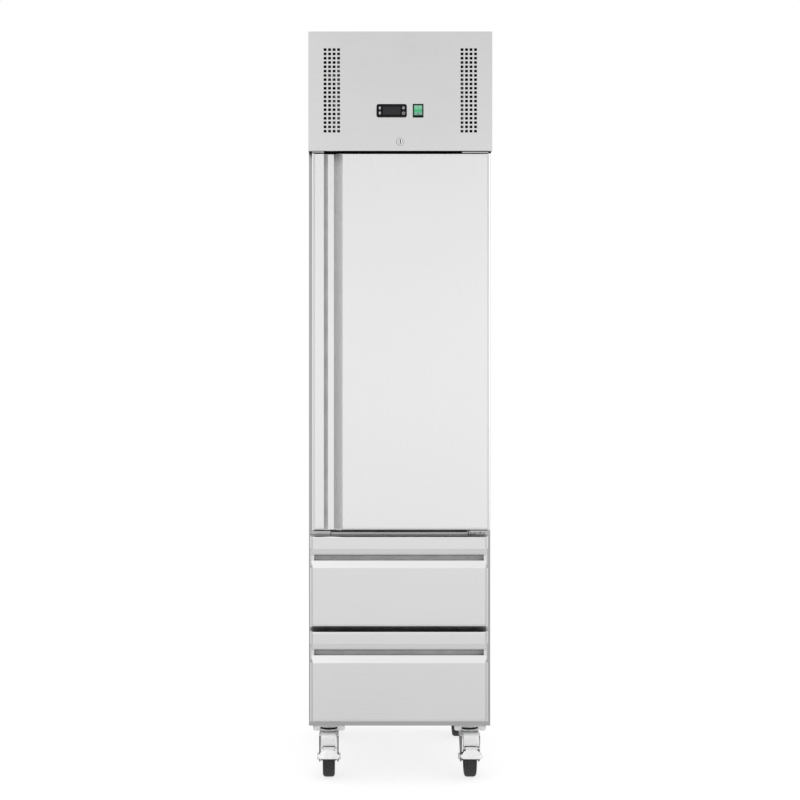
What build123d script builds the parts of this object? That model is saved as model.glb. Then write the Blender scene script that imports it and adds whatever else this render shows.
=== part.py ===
from build123d import *
import math
import os

os.makedirs("parts", exist_ok=True)

# Overall size. The origin is on the floor under the middle, the front faces -Y, and +Z is up.
width = 450.0
depth = 700.0
height = 1840.0
half = width / 2
proud_y = -depth / 2
rear_y = depth / 2
front_y = proud_y + 4.0
body_back_y = rear_y - 4.0

# Insulated body
base_z = 130.0
deck_z = 1575.0
frame_y = -290.0
sheet = 1.2
liner_sheet = 1.0
cavity_half = 180.0
cavity_floor = 177.0
cavity_ceiling = 1508.0
cavity_back_y = 305.0
breaker_half = 203.0
breaker_thick = 3.0
breaker_bottom = 153.0
breaker_top = 1532.0
foam_front_y = frame_y + breaker_thick

# Door and drawer fronts
front_half = 218.0
front_back_y = -300.0
edge_radius = 7.0
end_radius = 6.5
skin = 1.2
door_bottom = 619.5
door_top = 1542.3
door_middle_x = 2.2
drawer_height = 221.0
drawer_tops = {"upper_drawer": 604.0, "lower_drawer": 371.6}
drawer_middle_x = -3.0

# Door grip, a channel behind a strip along the left edge
strip_right = -187.0
strip_thick = 5.0
grip_undercut = -197.0
grip_floor_end = -162.8
grip_slope_end = -141.0
grip_floor_y = front_y + 23.0
grip_mouth_y = front_y - 9.0

# Drawer grip, a channel behind a lip along the top edge, below the front's top edge.
# A ledge and a short slope lead from its floor back to the face.
lip_flat = 30.0
lip_bottom = 47.0
lip_thick = 10.0
lip_behind_top = 22.0
drawer_grip_floor_y = front_y + 26.0
drawer_ledge_y = front_y + 9.0
drawer_slope_top = 59.5
drawer_slope_end = 77.0
drawer_grip_half = 208.0
drawer_end_inset = 3.5

# Seals
gasket_half = 200.0
gasket_wide = 16.0
gasket_inset = 8.0
gasket_gap = 0.3

# Mullions, whose heights are set by the seals that land on them
mullion_back_y = -240.0

# Hinges
hinge_x = 202.0
hinge_y = -330.0
pin_r = 4.0
running_fit = 0.05
bush_r = 8.0
bush_long = 14.0
pin_long = 12.0
hinge_plate = 3.0
hinge_gap = 1.0

# Header
header_bottom = 1548.0
vent_rows = 20
vent_columns = 4
vent_pitch_x = 11.0
vent_pitch_z = 10.5
vent_hole_x = 7.0
vent_hole_z = 6.5
vent_centre_x = 167.5
vent_centre_z = 1695.75
controls_z = 1646.0
controller_x = -21.2
controller_wide = 74.0
controller_tall = 32.0
switch_x = 43.6
lock_z = 1571.0
lock_cam_y = -333.0
lock_flange_r = 9.0
lock_sleeve_r = 8.0
lock_plug_r = 6.0

# Drawers and their slides
box_half = 167.0
box_back_y = 240.0
box_tall = 130.0
box_drop = 184.0
rail_front_y = -284.0
rail_back_y = 216.0
rail_rise = 62.0
rail_sheet = 1.6
fixed_rail = {"x_web": cavity_half, "x_edge": 169.0, "half_tall": 22.5}
middle_rail = {"x_web": 177.2, "x_edge": 169.5, "half_tall": 20.6}
runner_rail = {"x_web": box_half, "x_edge": 174.8, "half_tall": 18.6}

# Castors
castor_x = 175.5
castor_y = 235.0
castor_trail = 35.0
wheel_r = 50.0
wheel_wide = 30.0
axle_r = 6.0

# Shelves
shelf_levels = [668.0, 880.0, 1090.0, 1290.0]
shelf_front_y = -262.0
shelf_back_y = 268.0
shelf_half = 165.0
shelf_rod_r = 3.0
shelf_wire_r = 2.0

# Refrigeration
compressor_x = -100.0
compressor_y = 195.0
compressor_r = 62.0
condenser_low = (-158.0, -270.0, deck_z)
condenser_high = (158.0, -215.0, 1768.0)
condenser_rows = 7
condenser_fan_z = 1672.0
evaporator_low = (-130.0, 140.0, 1412.0)
evaporator_high = (130.0, 268.0, 1498.0)
cover_front_y = 60.0
cover_back_y = 302.0
cover_half = 170.0
cover_bottom = 1394.0
evaporator_fan_z = 1452.0
pipe_r = 5.0
pipe_hole_r = 6.0
pipe_x = 30.0
pipe_y = 285.0
compressor_foot = 12.0
compressor_plate = 3.0
compressor_tall = 150.0

# Back of the machine compartment
inlet_x = 150.0
inlet_z = 1620.0
inlet_body_x = 22.5
inlet_body_z = 12.5
screw_column_x = 212.0
screw_rows = (1590.0, 1668.0, 1746.0, 1824.0)
screw_r = 2.0

# How far a cut reaches past the face that it opens
past = 1.0


def block(low, high, mode=Mode.ADD):
    """A box between two corners, joined to or cut from the part being built."""
    size = [b - a for a, b in zip(low, high)]
    middle = [(a + b) / 2 for a, b in zip(low, high)]
    with Locations(tuple(middle)):
        Box(*size, mode=mode)


def rod(start, end, radius, mode=Mode.ADD):
    """A round bar from one point to another, joined to or cut from the part being built."""
    a = Vector(*start)
    run = Vector(*end) - a
    with Locations(Plane(origin=a, z_dir=run.normalized())):
        Cylinder(radius, run.length, align=(Align.CENTER, Align.CENTER, Align.MIN), mode=mode)


def save(piece, node):
    """Labels a finished piece and writes its STEP file."""
    piece.label = node
    export_step(piece, f"parts/{node}.step")


# Insulated body

def make_outer_casing():
    """Folded steel shell with a return flange round its open front."""
    with BuildPart() as outer_casing:
        block((-half, frame_y, base_z), (half, body_back_y, deck_z))
        block((-half + sheet, frame_y + sheet, base_z + sheet),
              (half - sheet, body_back_y - sheet, deck_z - sheet), Mode.SUBTRACT)
        block((-breaker_half, frame_y - sheet, breaker_bottom),
              (breaker_half, foam_front_y, breaker_top), Mode.SUBTRACT)
        for x in (-pipe_x, pipe_x):
            rod((x, pipe_y, deck_z - 2 * sheet), (x, pipe_y, deck_z + sheet), pipe_hole_r, Mode.SUBTRACT)
    return outer_casing.part


def make_inner_liner():
    """One open box that lines the whole cold space."""
    with BuildPart() as inner_liner:
        block((-cavity_half - liner_sheet, foam_front_y, cavity_floor - liner_sheet),
              (cavity_half + liner_sheet, cavity_back_y + liner_sheet, cavity_ceiling + liner_sheet))
        block((-cavity_half, foam_front_y - sheet, cavity_floor),
              (cavity_half, cavity_back_y, cavity_ceiling), Mode.SUBTRACT)
        for x in (-pipe_x, pipe_x):
            rod((x, pipe_y, cavity_ceiling - sheet), (x, pipe_y, cavity_ceiling + 2 * sheet),
                pipe_hole_r, Mode.SUBTRACT)
    return inner_liner.part


def make_foam_insulation():
    """Foam that fills the space between casing and liner."""
    with BuildPart() as foam_insulation:
        block((-half + sheet, foam_front_y, base_z + sheet),
              (half - sheet, body_back_y - sheet, deck_z - sheet))
        block((-cavity_half - liner_sheet, foam_front_y - sheet, cavity_floor - liner_sheet),
              (cavity_half + liner_sheet, cavity_back_y + liner_sheet, cavity_ceiling + liner_sheet),
              Mode.SUBTRACT)
        for x in (-pipe_x, pipe_x):
            rod((x, pipe_y, cavity_ceiling), (x, pipe_y, deck_z), pipe_hole_r, Mode.SUBTRACT)
    return foam_insulation.part


def make_breaker_frame():
    """Plastic frame round the opening, on which the seals of door and drawers land."""
    with BuildPart() as breaker_frame:
        block((-breaker_half, frame_y, breaker_bottom), (breaker_half, foam_front_y, breaker_top))
        block((-cavity_half, frame_y - sheet, cavity_floor),
              (cavity_half, foam_front_y + sheet, cavity_ceiling), Mode.SUBTRACT)
    return breaker_frame.part


def mullion_heights():
    """Lowest and highest z of each mullion, from the seals that land on it."""
    reach = gasket_inset + gasket_wide
    upper = drawer_tops["upper_drawer"]
    lower = drawer_tops["lower_drawer"]
    seam = 6.5
    return [(upper - reach, door_bottom + reach + seam), (lower - reach, upper - drawer_height + reach)]


def make_mullions():
    """Two hollow steel bars across the opening, one under the door and one between the drawers."""
    with BuildPart() as mullions:
        for low_z, high_z in mullion_heights():
            block((-cavity_half, frame_y, low_z), (cavity_half, mullion_back_y, high_z))
            block((-cavity_half - sheet, frame_y + sheet, low_z + sheet),
                  (cavity_half + sheet, mullion_back_y - sheet, high_z - sheet), Mode.SUBTRACT)
    return mullions.part


# Header and machine compartment

def make_header_fascia():
    """Front panel of the machine compartment, a shallow pan with two grids of vent holes."""
    return_y = -336.0
    controller_lap = 1.5
    with BuildPart() as header_fascia:
        block((-half, front_y, header_bottom), (half, frame_y, height))
        block((-half + sheet, front_y + sheet, header_bottom + sheet),
              (half - sheet, frame_y + sheet, height - sheet), Mode.SUBTRACT)
        block((-half + sheet, return_y, header_bottom - sheet),
              (half - sheet, frame_y + sheet, header_bottom + 2 * sheet), Mode.SUBTRACT)
        with BuildSketch(Plane.XZ.offset(-front_y + sheet)):
            with Locations((-vent_centre_x, vent_centre_z), (vent_centre_x, vent_centre_z)):
                with GridLocations(vent_pitch_x, vent_pitch_z, vent_columns, vent_rows):
                    Rectangle(vent_hole_x, vent_hole_z)
            with Locations((controller_x, controls_z)):
                Rectangle(controller_wide - 2 * controller_lap, controller_tall - 2 * controller_lap)
            with Locations((switch_x, controls_z)):
                Rectangle(2 * switch_body_half_x, 2 * switch_body_half_z)
            with Locations((0, lock_z)):
                Circle(lock_sleeve_r)
        extrude(amount=-3 * sheet, mode=Mode.SUBTRACT)
    return header_fascia.part


def screw_places():
    """Where the screws of the machine cover stand on its back."""
    return [(x, z) for x in (-screw_column_x, screw_column_x) for z in screw_rows]


def make_machine_cover():
    """Hood over the machine compartment, with louvres in its back and slots in its top."""
    slot_long = 130.0
    slot_tall = 7.0
    slot_pitch = 18.0
    slot_x = 90.0
    back_slot_z = 1726.0
    top_slot_y = 120.0
    with BuildPart() as machine_cover:
        block((-half, frame_y, deck_z), (half, body_back_y, height))
        block((-half + sheet, frame_y - sheet, deck_z - sheet),
              (half - sheet, body_back_y - sheet, height - sheet), Mode.SUBTRACT)
        with BuildSketch(Plane.XZ.offset(-body_back_y - sheet)):
            with Locations((-slot_x, back_slot_z), (slot_x, back_slot_z)):
                with GridLocations(slot_long, slot_pitch, 1, 8):
                    SlotOverall(slot_long, slot_tall)
            with Locations((inlet_x, inlet_z)):
                Rectangle(2 * inlet_body_x, 2 * inlet_body_z)
            with Locations(*screw_places()):
                Circle(screw_r)
        extrude(amount=3 * sheet, mode=Mode.SUBTRACT)
        with BuildSketch(Plane.XY.offset(height - 2 * sheet)):
            with Locations((-slot_x, top_slot_y), (slot_x, top_slot_y)):
                with GridLocations(slot_long, slot_pitch, 1, 10):
                    SlotOverall(slot_long, slot_tall)
        extrude(amount=3 * sheet, mode=Mode.SUBTRACT)
    return machine_cover.part


def make_panel_screws():
    """Pan head screws that hold the machine cover at the back."""
    head_r = 4.5
    head = 2.4
    shank = 12.0
    with BuildPart() as panel_screws:
        for x, z in screw_places():
            rod((x, body_back_y, z), (x, body_back_y + head, z), head_r)
            rod((x, body_back_y - shank, z), (x, body_back_y, z), screw_r)
    return panel_screws.part


def make_power_inlet():
    """Appliance inlet in the back of the machine cover, a flanged socket with its contact blades."""
    flange_x = 27.0
    flange_z = 16.0
    body_long = 24.0
    recess_x = 12.0
    recess_z = 8.5
    recess_y = body_back_y - 15.0
    blade_x = 7.0
    blade_thick = 2.0
    blade_tall = 4.0
    blade_end_y = body_back_y - 2.0
    with BuildPart() as power_inlet:
        block((inlet_x - flange_x, body_back_y, inlet_z - flange_z),
              (inlet_x + flange_x, rear_y, inlet_z + flange_z))
        block((inlet_x - inlet_body_x, body_back_y - body_long, inlet_z - inlet_body_z),
              (inlet_x + inlet_body_x, body_back_y, inlet_z + inlet_body_z))
        block((inlet_x - recess_x, recess_y, inlet_z - recess_z),
              (inlet_x + recess_x, rear_y + past, inlet_z + recess_z), Mode.SUBTRACT)
        for dx, dz in ((-blade_x, -2.0), (0.0, 3.0), (blade_x, -2.0)):
            block((inlet_x + dx - blade_thick / 2, recess_y - past, inlet_z + dz - blade_tall / 2),
                  (inlet_x + dx + blade_thick / 2, blade_end_y, inlet_z + dz + blade_tall / 2))
    return power_inlet.part


def make_compressor():
    """Hermetic compressor, a welded two piece dome on a plate with rubber feet under it."""
    x = compressor_x
    y = compressor_y
    foot_z = deck_z + compressor_foot
    plate_top = foot_z + compressor_plate
    plate_x = 88.0
    plate_y = 58.0
    dome_edge = 34.0
    seam_rise = 68.0
    seam_tall = 5.0
    seam_out = 4.0
    foot_x = 74.0
    foot_y = 46.0
    foot_r = 11.0
    box_y = 26.0
    box_low = foot_z + 30.0
    box_high = foot_z + 92.0
    with BuildPart() as compressor:
        block((x - plate_x, y - plate_y, foot_z), (x + plate_x, y + plate_y, plate_top))
        with BuildPart(Plane.XY.offset(plate_top), mode=Mode.PRIVATE) as dome:
            with Locations((x, y)):
                Cylinder(compressor_r, compressor_tall, align=(Align.CENTER, Align.CENTER, Align.MIN))
            fillet(dome.edges().group_by(Axis.Z)[-1], dome_edge)
        add(dome.part)
        rod((x, y, plate_top + seam_rise), (x, y, plate_top + seam_rise + seam_tall), compressor_r + seam_out)
        for dx in (-foot_x, foot_x):
            for dy in (-foot_y, foot_y):
                rod((x + dx, y + dy, deck_z), (x + dx, y + dy, foot_z), foot_r)
        block((x - compressor_r - 28.0, y - box_y, box_low), (x - compressor_r + 6.0, y + box_y, box_high))
    return compressor.part


bend_out = 10.0


def make_coil(low, high, fin_count, rows):
    """A finned coil between two corners, with its return bends standing out of both end plates."""
    plate = 2.0
    fin = 1.0
    fin_margin = 5.0
    core_margin = 14.0
    bend_r = 5.0
    x0, y0, z0 = low
    x1, y1, z1 = high
    pitch = (x1 - x0 - 2 * plate) / (fin_count + 1)
    row_pitch = (z1 - z0) / rows
    middle = ((x0 + x1) / 2, (y0 + y1) / 2, (z0 + z1) / 2)
    with BuildPart() as coil:
        block((x0, y0 + core_margin, z0 + fin_margin), (x1, y1 - core_margin, z1 - fin_margin))
        for x in (x0, x1 - plate):
            block((x, y0, z0), (x + plate, y1, z1))
        with Locations(*[(x0 + plate + pitch * (n + 1), middle[1], middle[2]) for n in range(fin_count)]):
            Box(fin, y1 - y0 - 2 * fin_margin, z1 - z0 - 2 * fin_margin)
        for x in (x0 - bend_out, x1):
            with BuildSketch(Plane.YZ.offset(x)):
                with Locations((middle[1], middle[2])):
                    with GridLocations(1.0, row_pitch, 1, rows):
                        SlotOverall(y1 - y0 - 2 * core_margin, 2 * bend_r)
            extrude(amount=bend_out)
    return coil.part


def make_condenser_coil():
    """Finned coil at the front of the machine compartment."""
    return make_coil(condenser_low, condenser_high, fin_count=36, rows=condenser_rows)


def make_evaporator_coil():
    """Finned coil under the ceiling of the cold space."""
    return make_coil(evaporator_low, evaporator_high, fin_count=20, rows=3)


def fan_motor(x, y, z, motor_r, motor_long, frame_half, opening_r, shaft_out, stand):
    """A motor carried by four arms on a square frame, with its shaft along Y towards the front."""
    post_r = 3.5
    arm_r = 2.0
    plate = 2.0
    shaft_r = 4.0
    frame_back = y + stand
    arm_y = frame_back + motor_long / 2
    foot = opening_r + 4.0
    block((x - frame_half, y, z - frame_half), (x + frame_half, y + plate, z + frame_half))
    rod((x, y - plate, z), (x, y + 2 * plate, z), opening_r, Mode.SUBTRACT)
    rod((x, frame_back, z), (x, frame_back + motor_long, z), motor_r)
    for turn in (45, 135, 225, 315):
        dx = math.cos(math.radians(turn))
        dz = math.sin(math.radians(turn))
        rod((x + dx * foot, y + plate / 2, z + dz * foot),
            (x + dx * foot, arm_y + post_r, z + dz * foot), post_r)
        rod((x + dx * motor_r / 2, arm_y, z + dz * motor_r / 2),
            (x + dx * foot, arm_y, z + dz * foot), arm_r)
    rod((x, frame_back - shaft_out, z), (x, frame_back + plate, z), shaft_r)


condenser_fan_y = condenser_high[1] + 3.0
condenser_stand = 30.0
evaporator_fan_y = cover_front_y + sheet
evaporator_stand = 22.0


def make_fan_motors():
    """The condenser's fan motor and the evaporator's, each on its own frame."""
    with BuildPart() as fan_motors:
        fan_motor(0.0, condenser_fan_y, condenser_fan_z, motor_r=35.0, motor_long=50.0,
                  frame_half=92.0, opening_r=84.0, shaft_out=24.0, stand=condenser_stand)
        with BuildPart(mode=Mode.PRIVATE) as small:
            fan_motor(0.0, evaporator_fan_y, evaporator_fan_z, motor_r=24.0, motor_long=34.0,
                      frame_half=54.0, opening_r=48.0, shaft_out=18.0, stand=evaporator_stand)
        add(small.part)
    return fan_motors.part


def make_fan_blade(x, y, z, hub_r, tip_r, blades, hub_long, pitch_deg):
    """A fan wheel whose blades are twisted plates round a bored hub, turning about Y."""
    blade_thick = 2.0
    chord = tip_r / 2
    tip_inset = 2.0
    bore_r = 4.0 + running_fit
    with BuildPart() as fan_blade:
        rod((x, y, z), (x, y + hub_long, z), hub_r)
        lean = math.radians(pitch_deg)
        for n in range(blades):
            turn = 2 * math.pi / blades * n
            outward = Vector(math.cos(turn), 0, math.sin(turn))
            along = Vector(0, -1, 0)
            facing = along * math.cos(lean) + along.cross(outward) * math.sin(lean)
            with Locations(Plane(origin=(x, y + hub_long / 2, z), x_dir=outward, z_dir=facing)):
                Box(tip_r - tip_inset, chord, blade_thick, align=(Align.MIN, Align.CENTER, Align.CENTER))
        rod((x, y - tip_r, z), (x, y + tip_r, z), bore_r, Mode.SUBTRACT)
    return fan_blade.part


def make_refrigerant_pipes():
    """Discharge, liquid and suction lines between compressor, condenser and evaporator."""
    stub_x = condenser_low[0] - bend_out
    stub_y = (condenser_low[1] + condenser_high[1]) / 2
    row_pitch = (condenser_high[2] - condenser_low[2]) / condenser_rows
    low_row = condenser_low[2] + row_pitch / 2
    high_row = condenser_high[2] - row_pitch / 2
    side_x = stub_x - 35.0
    top_z = 1800.0
    dome_z = deck_z + compressor_foot + compressor_plate + compressor_tall
    discharge_x = compressor_x + 15.0
    coil_back_y = evaporator_high[1]
    liquid_z = 1455.0
    suction_z = 1440.0
    suction_side_z = 1640.0
    routes = [
        [(discharge_x, compressor_y, dome_z), (discharge_x, compressor_y, top_z),
         (discharge_x, stub_y, top_z), (side_x, stub_y, top_z), (side_x, stub_y, high_row),
         (stub_x, stub_y, high_row)],
        [(stub_x, stub_y, low_row), (side_x, stub_y, low_row), (side_x, pipe_y, low_row),
         (-pipe_x, pipe_y, low_row), (-pipe_x, pipe_y, liquid_z), (-pipe_x, coil_back_y, liquid_z)],
        [(pipe_x, coil_back_y, suction_z), (pipe_x, pipe_y, suction_z), (pipe_x, pipe_y, suction_side_z),
         (compressor_x, pipe_y, suction_side_z), (compressor_x, compressor_y + compressor_r, suction_side_z)],
    ]
    bends = [18.0, 8.0, 8.0]
    with BuildPart() as refrigerant_pipes:
        for route, bend in zip(routes, bends):
            with BuildLine() as path:
                FilletPolyline(*route, radius=bend)
            start = path.line @ 0
            with BuildSketch(Plane(origin=start, z_dir=path.line % 0)):
                Circle(pipe_r)
            sweep(path=path.line)
    return refrigerant_pipes.part


def make_evaporator_cover():
    """Sheet cover under the ceiling, with a round fan grille in front and an open back edge for air."""
    grille_r = 46.0
    hub_r = 6.0
    wire = 3.0
    ring_radii = (36.0, 24.0, 12.0)
    slot_y = 235.0
    slot_pitch = 24.0
    slot_long = 70.0
    slot_wide = 8.0
    with BuildPart() as evaporator_cover:
        block((-cover_half, cover_front_y, cover_bottom), (cover_half, cover_back_y, cavity_ceiling))
        block((-cover_half + sheet, cover_front_y + sheet, cover_bottom + sheet),
              (cover_half - sheet, cover_back_y + sheet, cavity_ceiling + sheet), Mode.SUBTRACT)
        with BuildSketch(Plane.XZ.offset(-cover_front_y + sheet)):
            with Locations((0.0, evaporator_fan_z)):
                Circle(grille_r)
                for ring_r in ring_radii:
                    Circle(ring_r + wire / 2, mode=Mode.SUBTRACT)
                    Circle(ring_r - wire / 2)
                Circle(hub_r, mode=Mode.SUBTRACT)
                Rectangle(2 * grille_r, wire, mode=Mode.SUBTRACT)
                Rectangle(wire, 2 * grille_r, mode=Mode.SUBTRACT)
        extrude(amount=-3 * sheet, mode=Mode.SUBTRACT)
        with BuildSketch(Plane.XY.offset(cover_bottom - sheet)):
            with Locations((0.0, slot_y)):
                with GridLocations(slot_pitch, slot_wide, 11, 1):
                    SlotOverall(slot_long, slot_wide, rotation=90)
        extrude(amount=3 * sheet, mode=Mode.SUBTRACT)
    return evaporator_cover.part


# Controls in the header

controller_front_y = proud_y + 1.0
key_wide = 8.0
key_tall = 9.0
key_gap = 0.3
key_columns = (-29.0, 29.0)
key_rows = (-6.4, 6.4)


def key_places():
    """Name and middle of each key on the controller."""
    sides = ("left", "right")
    heights = ("lower", "upper")
    return [(f"{heights[j]}_{sides[i]}_key", controller_x + key_columns[i], controls_z + key_rows[j])
            for i in (0, 1) for j in (0, 1)]


def make_controller_body():
    """Panel mounted temperature controller, with wells for its keys and display."""
    corner = 5.0
    body_long = 57.0
    body_half_x = 35.4
    body_half_z = 14.4
    well_deep = 4.0
    display_half_x = 22.0
    display_half_z = 10.5
    display_deep = 1.2
    with BuildPart() as controller_body:
        with BuildSketch(Plane.XZ.offset(-front_y)):
            with Locations((controller_x, controls_z)):
                RectangleRounded(controller_wide, controller_tall, corner)
        extrude(amount=front_y - controller_front_y)
        block((controller_x - body_half_x, front_y, controls_z - body_half_z),
              (controller_x + body_half_x, front_y + body_long, controls_z + body_half_z))
        for name, x, z in key_places():
            block((x - key_wide / 2 - key_gap, controller_front_y - past, z - key_tall / 2 - key_gap),
                  (x + key_wide / 2 + key_gap, controller_front_y + well_deep, z + key_tall / 2 + key_gap),
                  Mode.SUBTRACT)
        block((controller_x - display_half_x, controller_front_y - past, controls_z - display_half_z),
              (controller_x + display_half_x, controller_front_y + display_deep, controls_z + display_half_z),
              Mode.SUBTRACT)
    return controller_body.part


def make_key(x, z):
    """One soft key with a slightly rounded face, standing just out of the controller."""
    key_out = 0.6
    key_in = 3.0
    corner = 1.5
    with BuildPart() as key:
        block((x - key_wide / 2, controller_front_y - key_out, z - key_tall / 2),
              (x + key_wide / 2, controller_front_y + key_in, z + key_tall / 2))
        fillet(key.edges().filter_by(Axis.Y), corner)
    return key.part


rocker_pivot_y = front_y + 5.0
rocker_r = 14.2
rocker_half_wide = 10.0
rocker_tilt = 14.0
rocker_pin_r = 1.5
switch_bezel_y = proud_y + 1.5
switch_body_half_x = 11.2
switch_body_half_z = 15.2


def make_switch_bezel():
    """Frame and body of the power switch, with a pocket for the rocker and bores for its pivot."""
    bezel_half_x = 13.0
    bezel_half_z = 16.5
    body_long = 28.0
    pocket_y = front_y + 13.0
    side_gap = 0.3
    end_gap = 0.4
    bore_half = rocker_half_wide + 1.0
    with BuildPart() as switch_bezel:
        block((switch_x - bezel_half_x, switch_bezel_y, controls_z - bezel_half_z),
              (switch_x + bezel_half_x, front_y, controls_z + bezel_half_z))
        block((switch_x - switch_body_half_x, front_y, controls_z - switch_body_half_z),
              (switch_x + switch_body_half_x, front_y + body_long, controls_z + switch_body_half_z))
        block((switch_x - rocker_half_wide - side_gap, proud_y, controls_z - rocker_r - end_gap),
              (switch_x + rocker_half_wide + side_gap, pocket_y, controls_z + rocker_r + end_gap),
              Mode.SUBTRACT)
        rod((switch_x - bore_half, rocker_pivot_y, controls_z),
            (switch_x + bore_half, rocker_pivot_y, controls_z),
            rocker_pin_r + running_fit, Mode.SUBTRACT)
    return switch_bezel.part


def make_rocker():
    """Rocker with a shallow valley across its face, its upper half pressed in."""
    valley_y = rocker_pivot_y - 5.4
    back_y = rocker_pivot_y + 3.5
    pin_half = rocker_half_wide + 0.9
    lean = math.tan(math.radians(rocker_tilt))
    with BuildPart() as rocker:
        with BuildSketch(Plane.YZ.offset(switch_x - rocker_half_wide)):
            with Locations((rocker_pivot_y, controls_z)):
                Circle(rocker_r)
            with BuildLine():
                Polyline((back_y, controls_z - 2 * rocker_r), (back_y, controls_z + 2 * rocker_r),
                         (valley_y, controls_z + 2 * rocker_r), (valley_y, controls_z),
                         (valley_y - 2 * rocker_r * lean, controls_z - 2 * rocker_r), close=True)
            make_face(mode=Mode.INTERSECT)
        extrude(amount=2 * rocker_half_wide)
        rod((switch_x - pin_half, rocker_pivot_y, controls_z),
            (switch_x + pin_half, rocker_pivot_y, controls_z), rocker_pin_r)
    return rocker.part


def make_lock_housing():
    """Fixed sleeve of the lock, with its flange in front of the header."""
    sleeve_back_y = lock_cam_y - 3.0
    with BuildPart() as lock_housing:
        rod((0, proud_y, lock_z), (0, front_y, lock_z), lock_flange_r)
        rod((0, front_y, lock_z), (0, sleeve_back_y, lock_z), lock_sleeve_r)
        rod((0, proud_y - past, lock_z), (0, sleeve_back_y + past, lock_z), lock_plug_r + running_fit,
            Mode.SUBTRACT)
    return lock_housing.part


def make_lock_barrel():
    """Turning plug with its key slot, and the cam that drops into the top of the door."""
    cam_thick = 2.5
    cam_half = 6.0
    cam_reach = 39.0
    face_inset = 0.6
    slot_half = 0.8
    slot_tall = 8.0
    slot_deep = 7.0
    with BuildPart() as lock_barrel:
        rod((0, proud_y + face_inset, lock_z), (0, lock_cam_y + cam_thick, lock_z), lock_plug_r)
        block((-cam_half, lock_cam_y, lock_z - cam_half),
              (cam_reach, lock_cam_y + cam_thick, lock_z + cam_half))
        block((-slot_half, proud_y, lock_z - slot_tall / 2),
              (slot_half, proud_y + slot_deep, lock_z + slot_tall / 2), Mode.SUBTRACT)
    return lock_barrel.part


# Hinge plates on the body

def make_hinge_plates():
    """Two angle brackets with the door's pins, and the two blanking plates on the other side."""
    low_top = door_bottom - hinge_gap
    low_leaf_x = (171.0, 218.0)
    low_leg_z = low_top - 20.0
    low_blank_x = (-217.0, -171.0)
    high_bottom = door_top + hinge_gap
    high_leaf_x = (152.0, 216.0)
    high_leg_z = high_bottom + 26.0
    high_blank_x = (-216.0, -187.0)
    high_blank_z = high_bottom + 1.0
    leaf_front = -342.0
    leg_front = frame_y - hinge_plate
    pin_head_r = 7.0
    pin_head = 4.0
    with BuildPart() as hinge_plates:
        block((low_leaf_x[0], leaf_front, low_top - hinge_plate), (low_leaf_x[1], frame_y, low_top))
        block((low_leaf_x[0], leg_front, low_leg_z), (low_leaf_x[1], frame_y, low_top))
        rod((hinge_x, hinge_y, low_top), (hinge_x, hinge_y, low_top + pin_long), pin_r)
        rod((hinge_x, hinge_y, low_top - hinge_plate - pin_head),
            (hinge_x, hinge_y, low_top - hinge_plate), pin_head_r)
        block((high_leaf_x[0], leaf_front, high_bottom), (high_leaf_x[1], frame_y, high_bottom + hinge_plate))
        block((high_leaf_x[0], leg_front, high_bottom), (high_leaf_x[1], frame_y, high_leg_z))
        rod((hinge_x, hinge_y, high_bottom - pin_long), (hinge_x, hinge_y, high_bottom), pin_r)
        block((low_blank_x[0], leg_front, low_leg_z), (low_blank_x[1], frame_y, low_top))
        block((high_blank_x[0], leaf_front, high_blank_z),
              (high_blank_x[1], frame_y, high_blank_z + hinge_plate))
        block((high_blank_x[0], leg_front, high_blank_z), (high_blank_x[1], frame_y, high_leg_z))
    return hinge_plates.part


# Door and drawer fronts

def rounded_slab(plan_face, z0, z1, inset):
    """A plan shape raised between two heights, with its top and bottom front edges rounded."""
    radius = end_radius - inset
    front = front_y + inset
    behind_y = front_back_y + past
    bulge = radius * (1 - math.sqrt(0.5))
    with BuildPart() as slab:
        with BuildSketch(Plane.XY.offset(z0)):
            add(plan_face)
        extrude(amount=z1 - z0)
        with BuildSketch(Plane.YZ.offset(-half)):
            with BuildLine():
                Line((behind_y, z0), (front + radius, z0))
                ThreePointArc((front + radius, z0), (front + bulge, z0 + bulge), (front, z0 + radius))
                Line((front, z0 + radius), (front, z1 - radius))
                ThreePointArc((front, z1 - radius), (front + bulge, z1 - bulge), (front + radius, z1))
                Line((front + radius, z1), (behind_y, z1))
                Line((behind_y, z1), (behind_y, z0))
            make_face()
        extrude(amount=width, mode=Mode.INTERSECT)
    return slab.part


def plain_plan(middle_x, inset):
    """Plan of a front with rounded front corners, shrunk by inset except at the back."""
    left = middle_x - front_half + inset
    right = middle_x + front_half - inset
    front = front_y + inset
    radius = edge_radius - inset
    with BuildSketch() as plan:
        with BuildLine():
            Line((left, front_back_y), (left, front + radius))
            RadiusArc((left, front + radius), (left + radius, front), radius)
            Line((left + radius, front), (right - radius, front))
            RadiusArc((right - radius, front), (right, front + radius), radius)
            Line((right, front + radius), (right, front_back_y))
            Line((right, front_back_y), (left, front_back_y))
        make_face()
    return plan.sketch


def door_grip_plan(inset):
    """Plan of the door's grip channel, grown by inset."""
    with BuildSketch() as grip:
        with BuildLine():
            Polyline((strip_right, grip_mouth_y), (strip_right, front_y + strip_thick),
                     (grip_undercut, front_y + strip_thick), (grip_undercut, grip_floor_y),
                     (grip_floor_end, grip_floor_y), (grip_slope_end, front_y),
                     (grip_slope_end, grip_mouth_y), close=True)
        make_face()
        if inset:
            offset(amount=inset, kind=Kind.INTERSECTION)
    return grip.sketch


def door_block(inset):
    """The door's outer form, shrunk by inset except at its back."""
    with BuildSketch() as plan:
        add(plain_plan(door_middle_x, inset))
        add(door_grip_plan(inset), mode=Mode.SUBTRACT)
    return rounded_slab(plan.sketch, door_bottom + inset, door_top - inset, inset)


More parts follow.
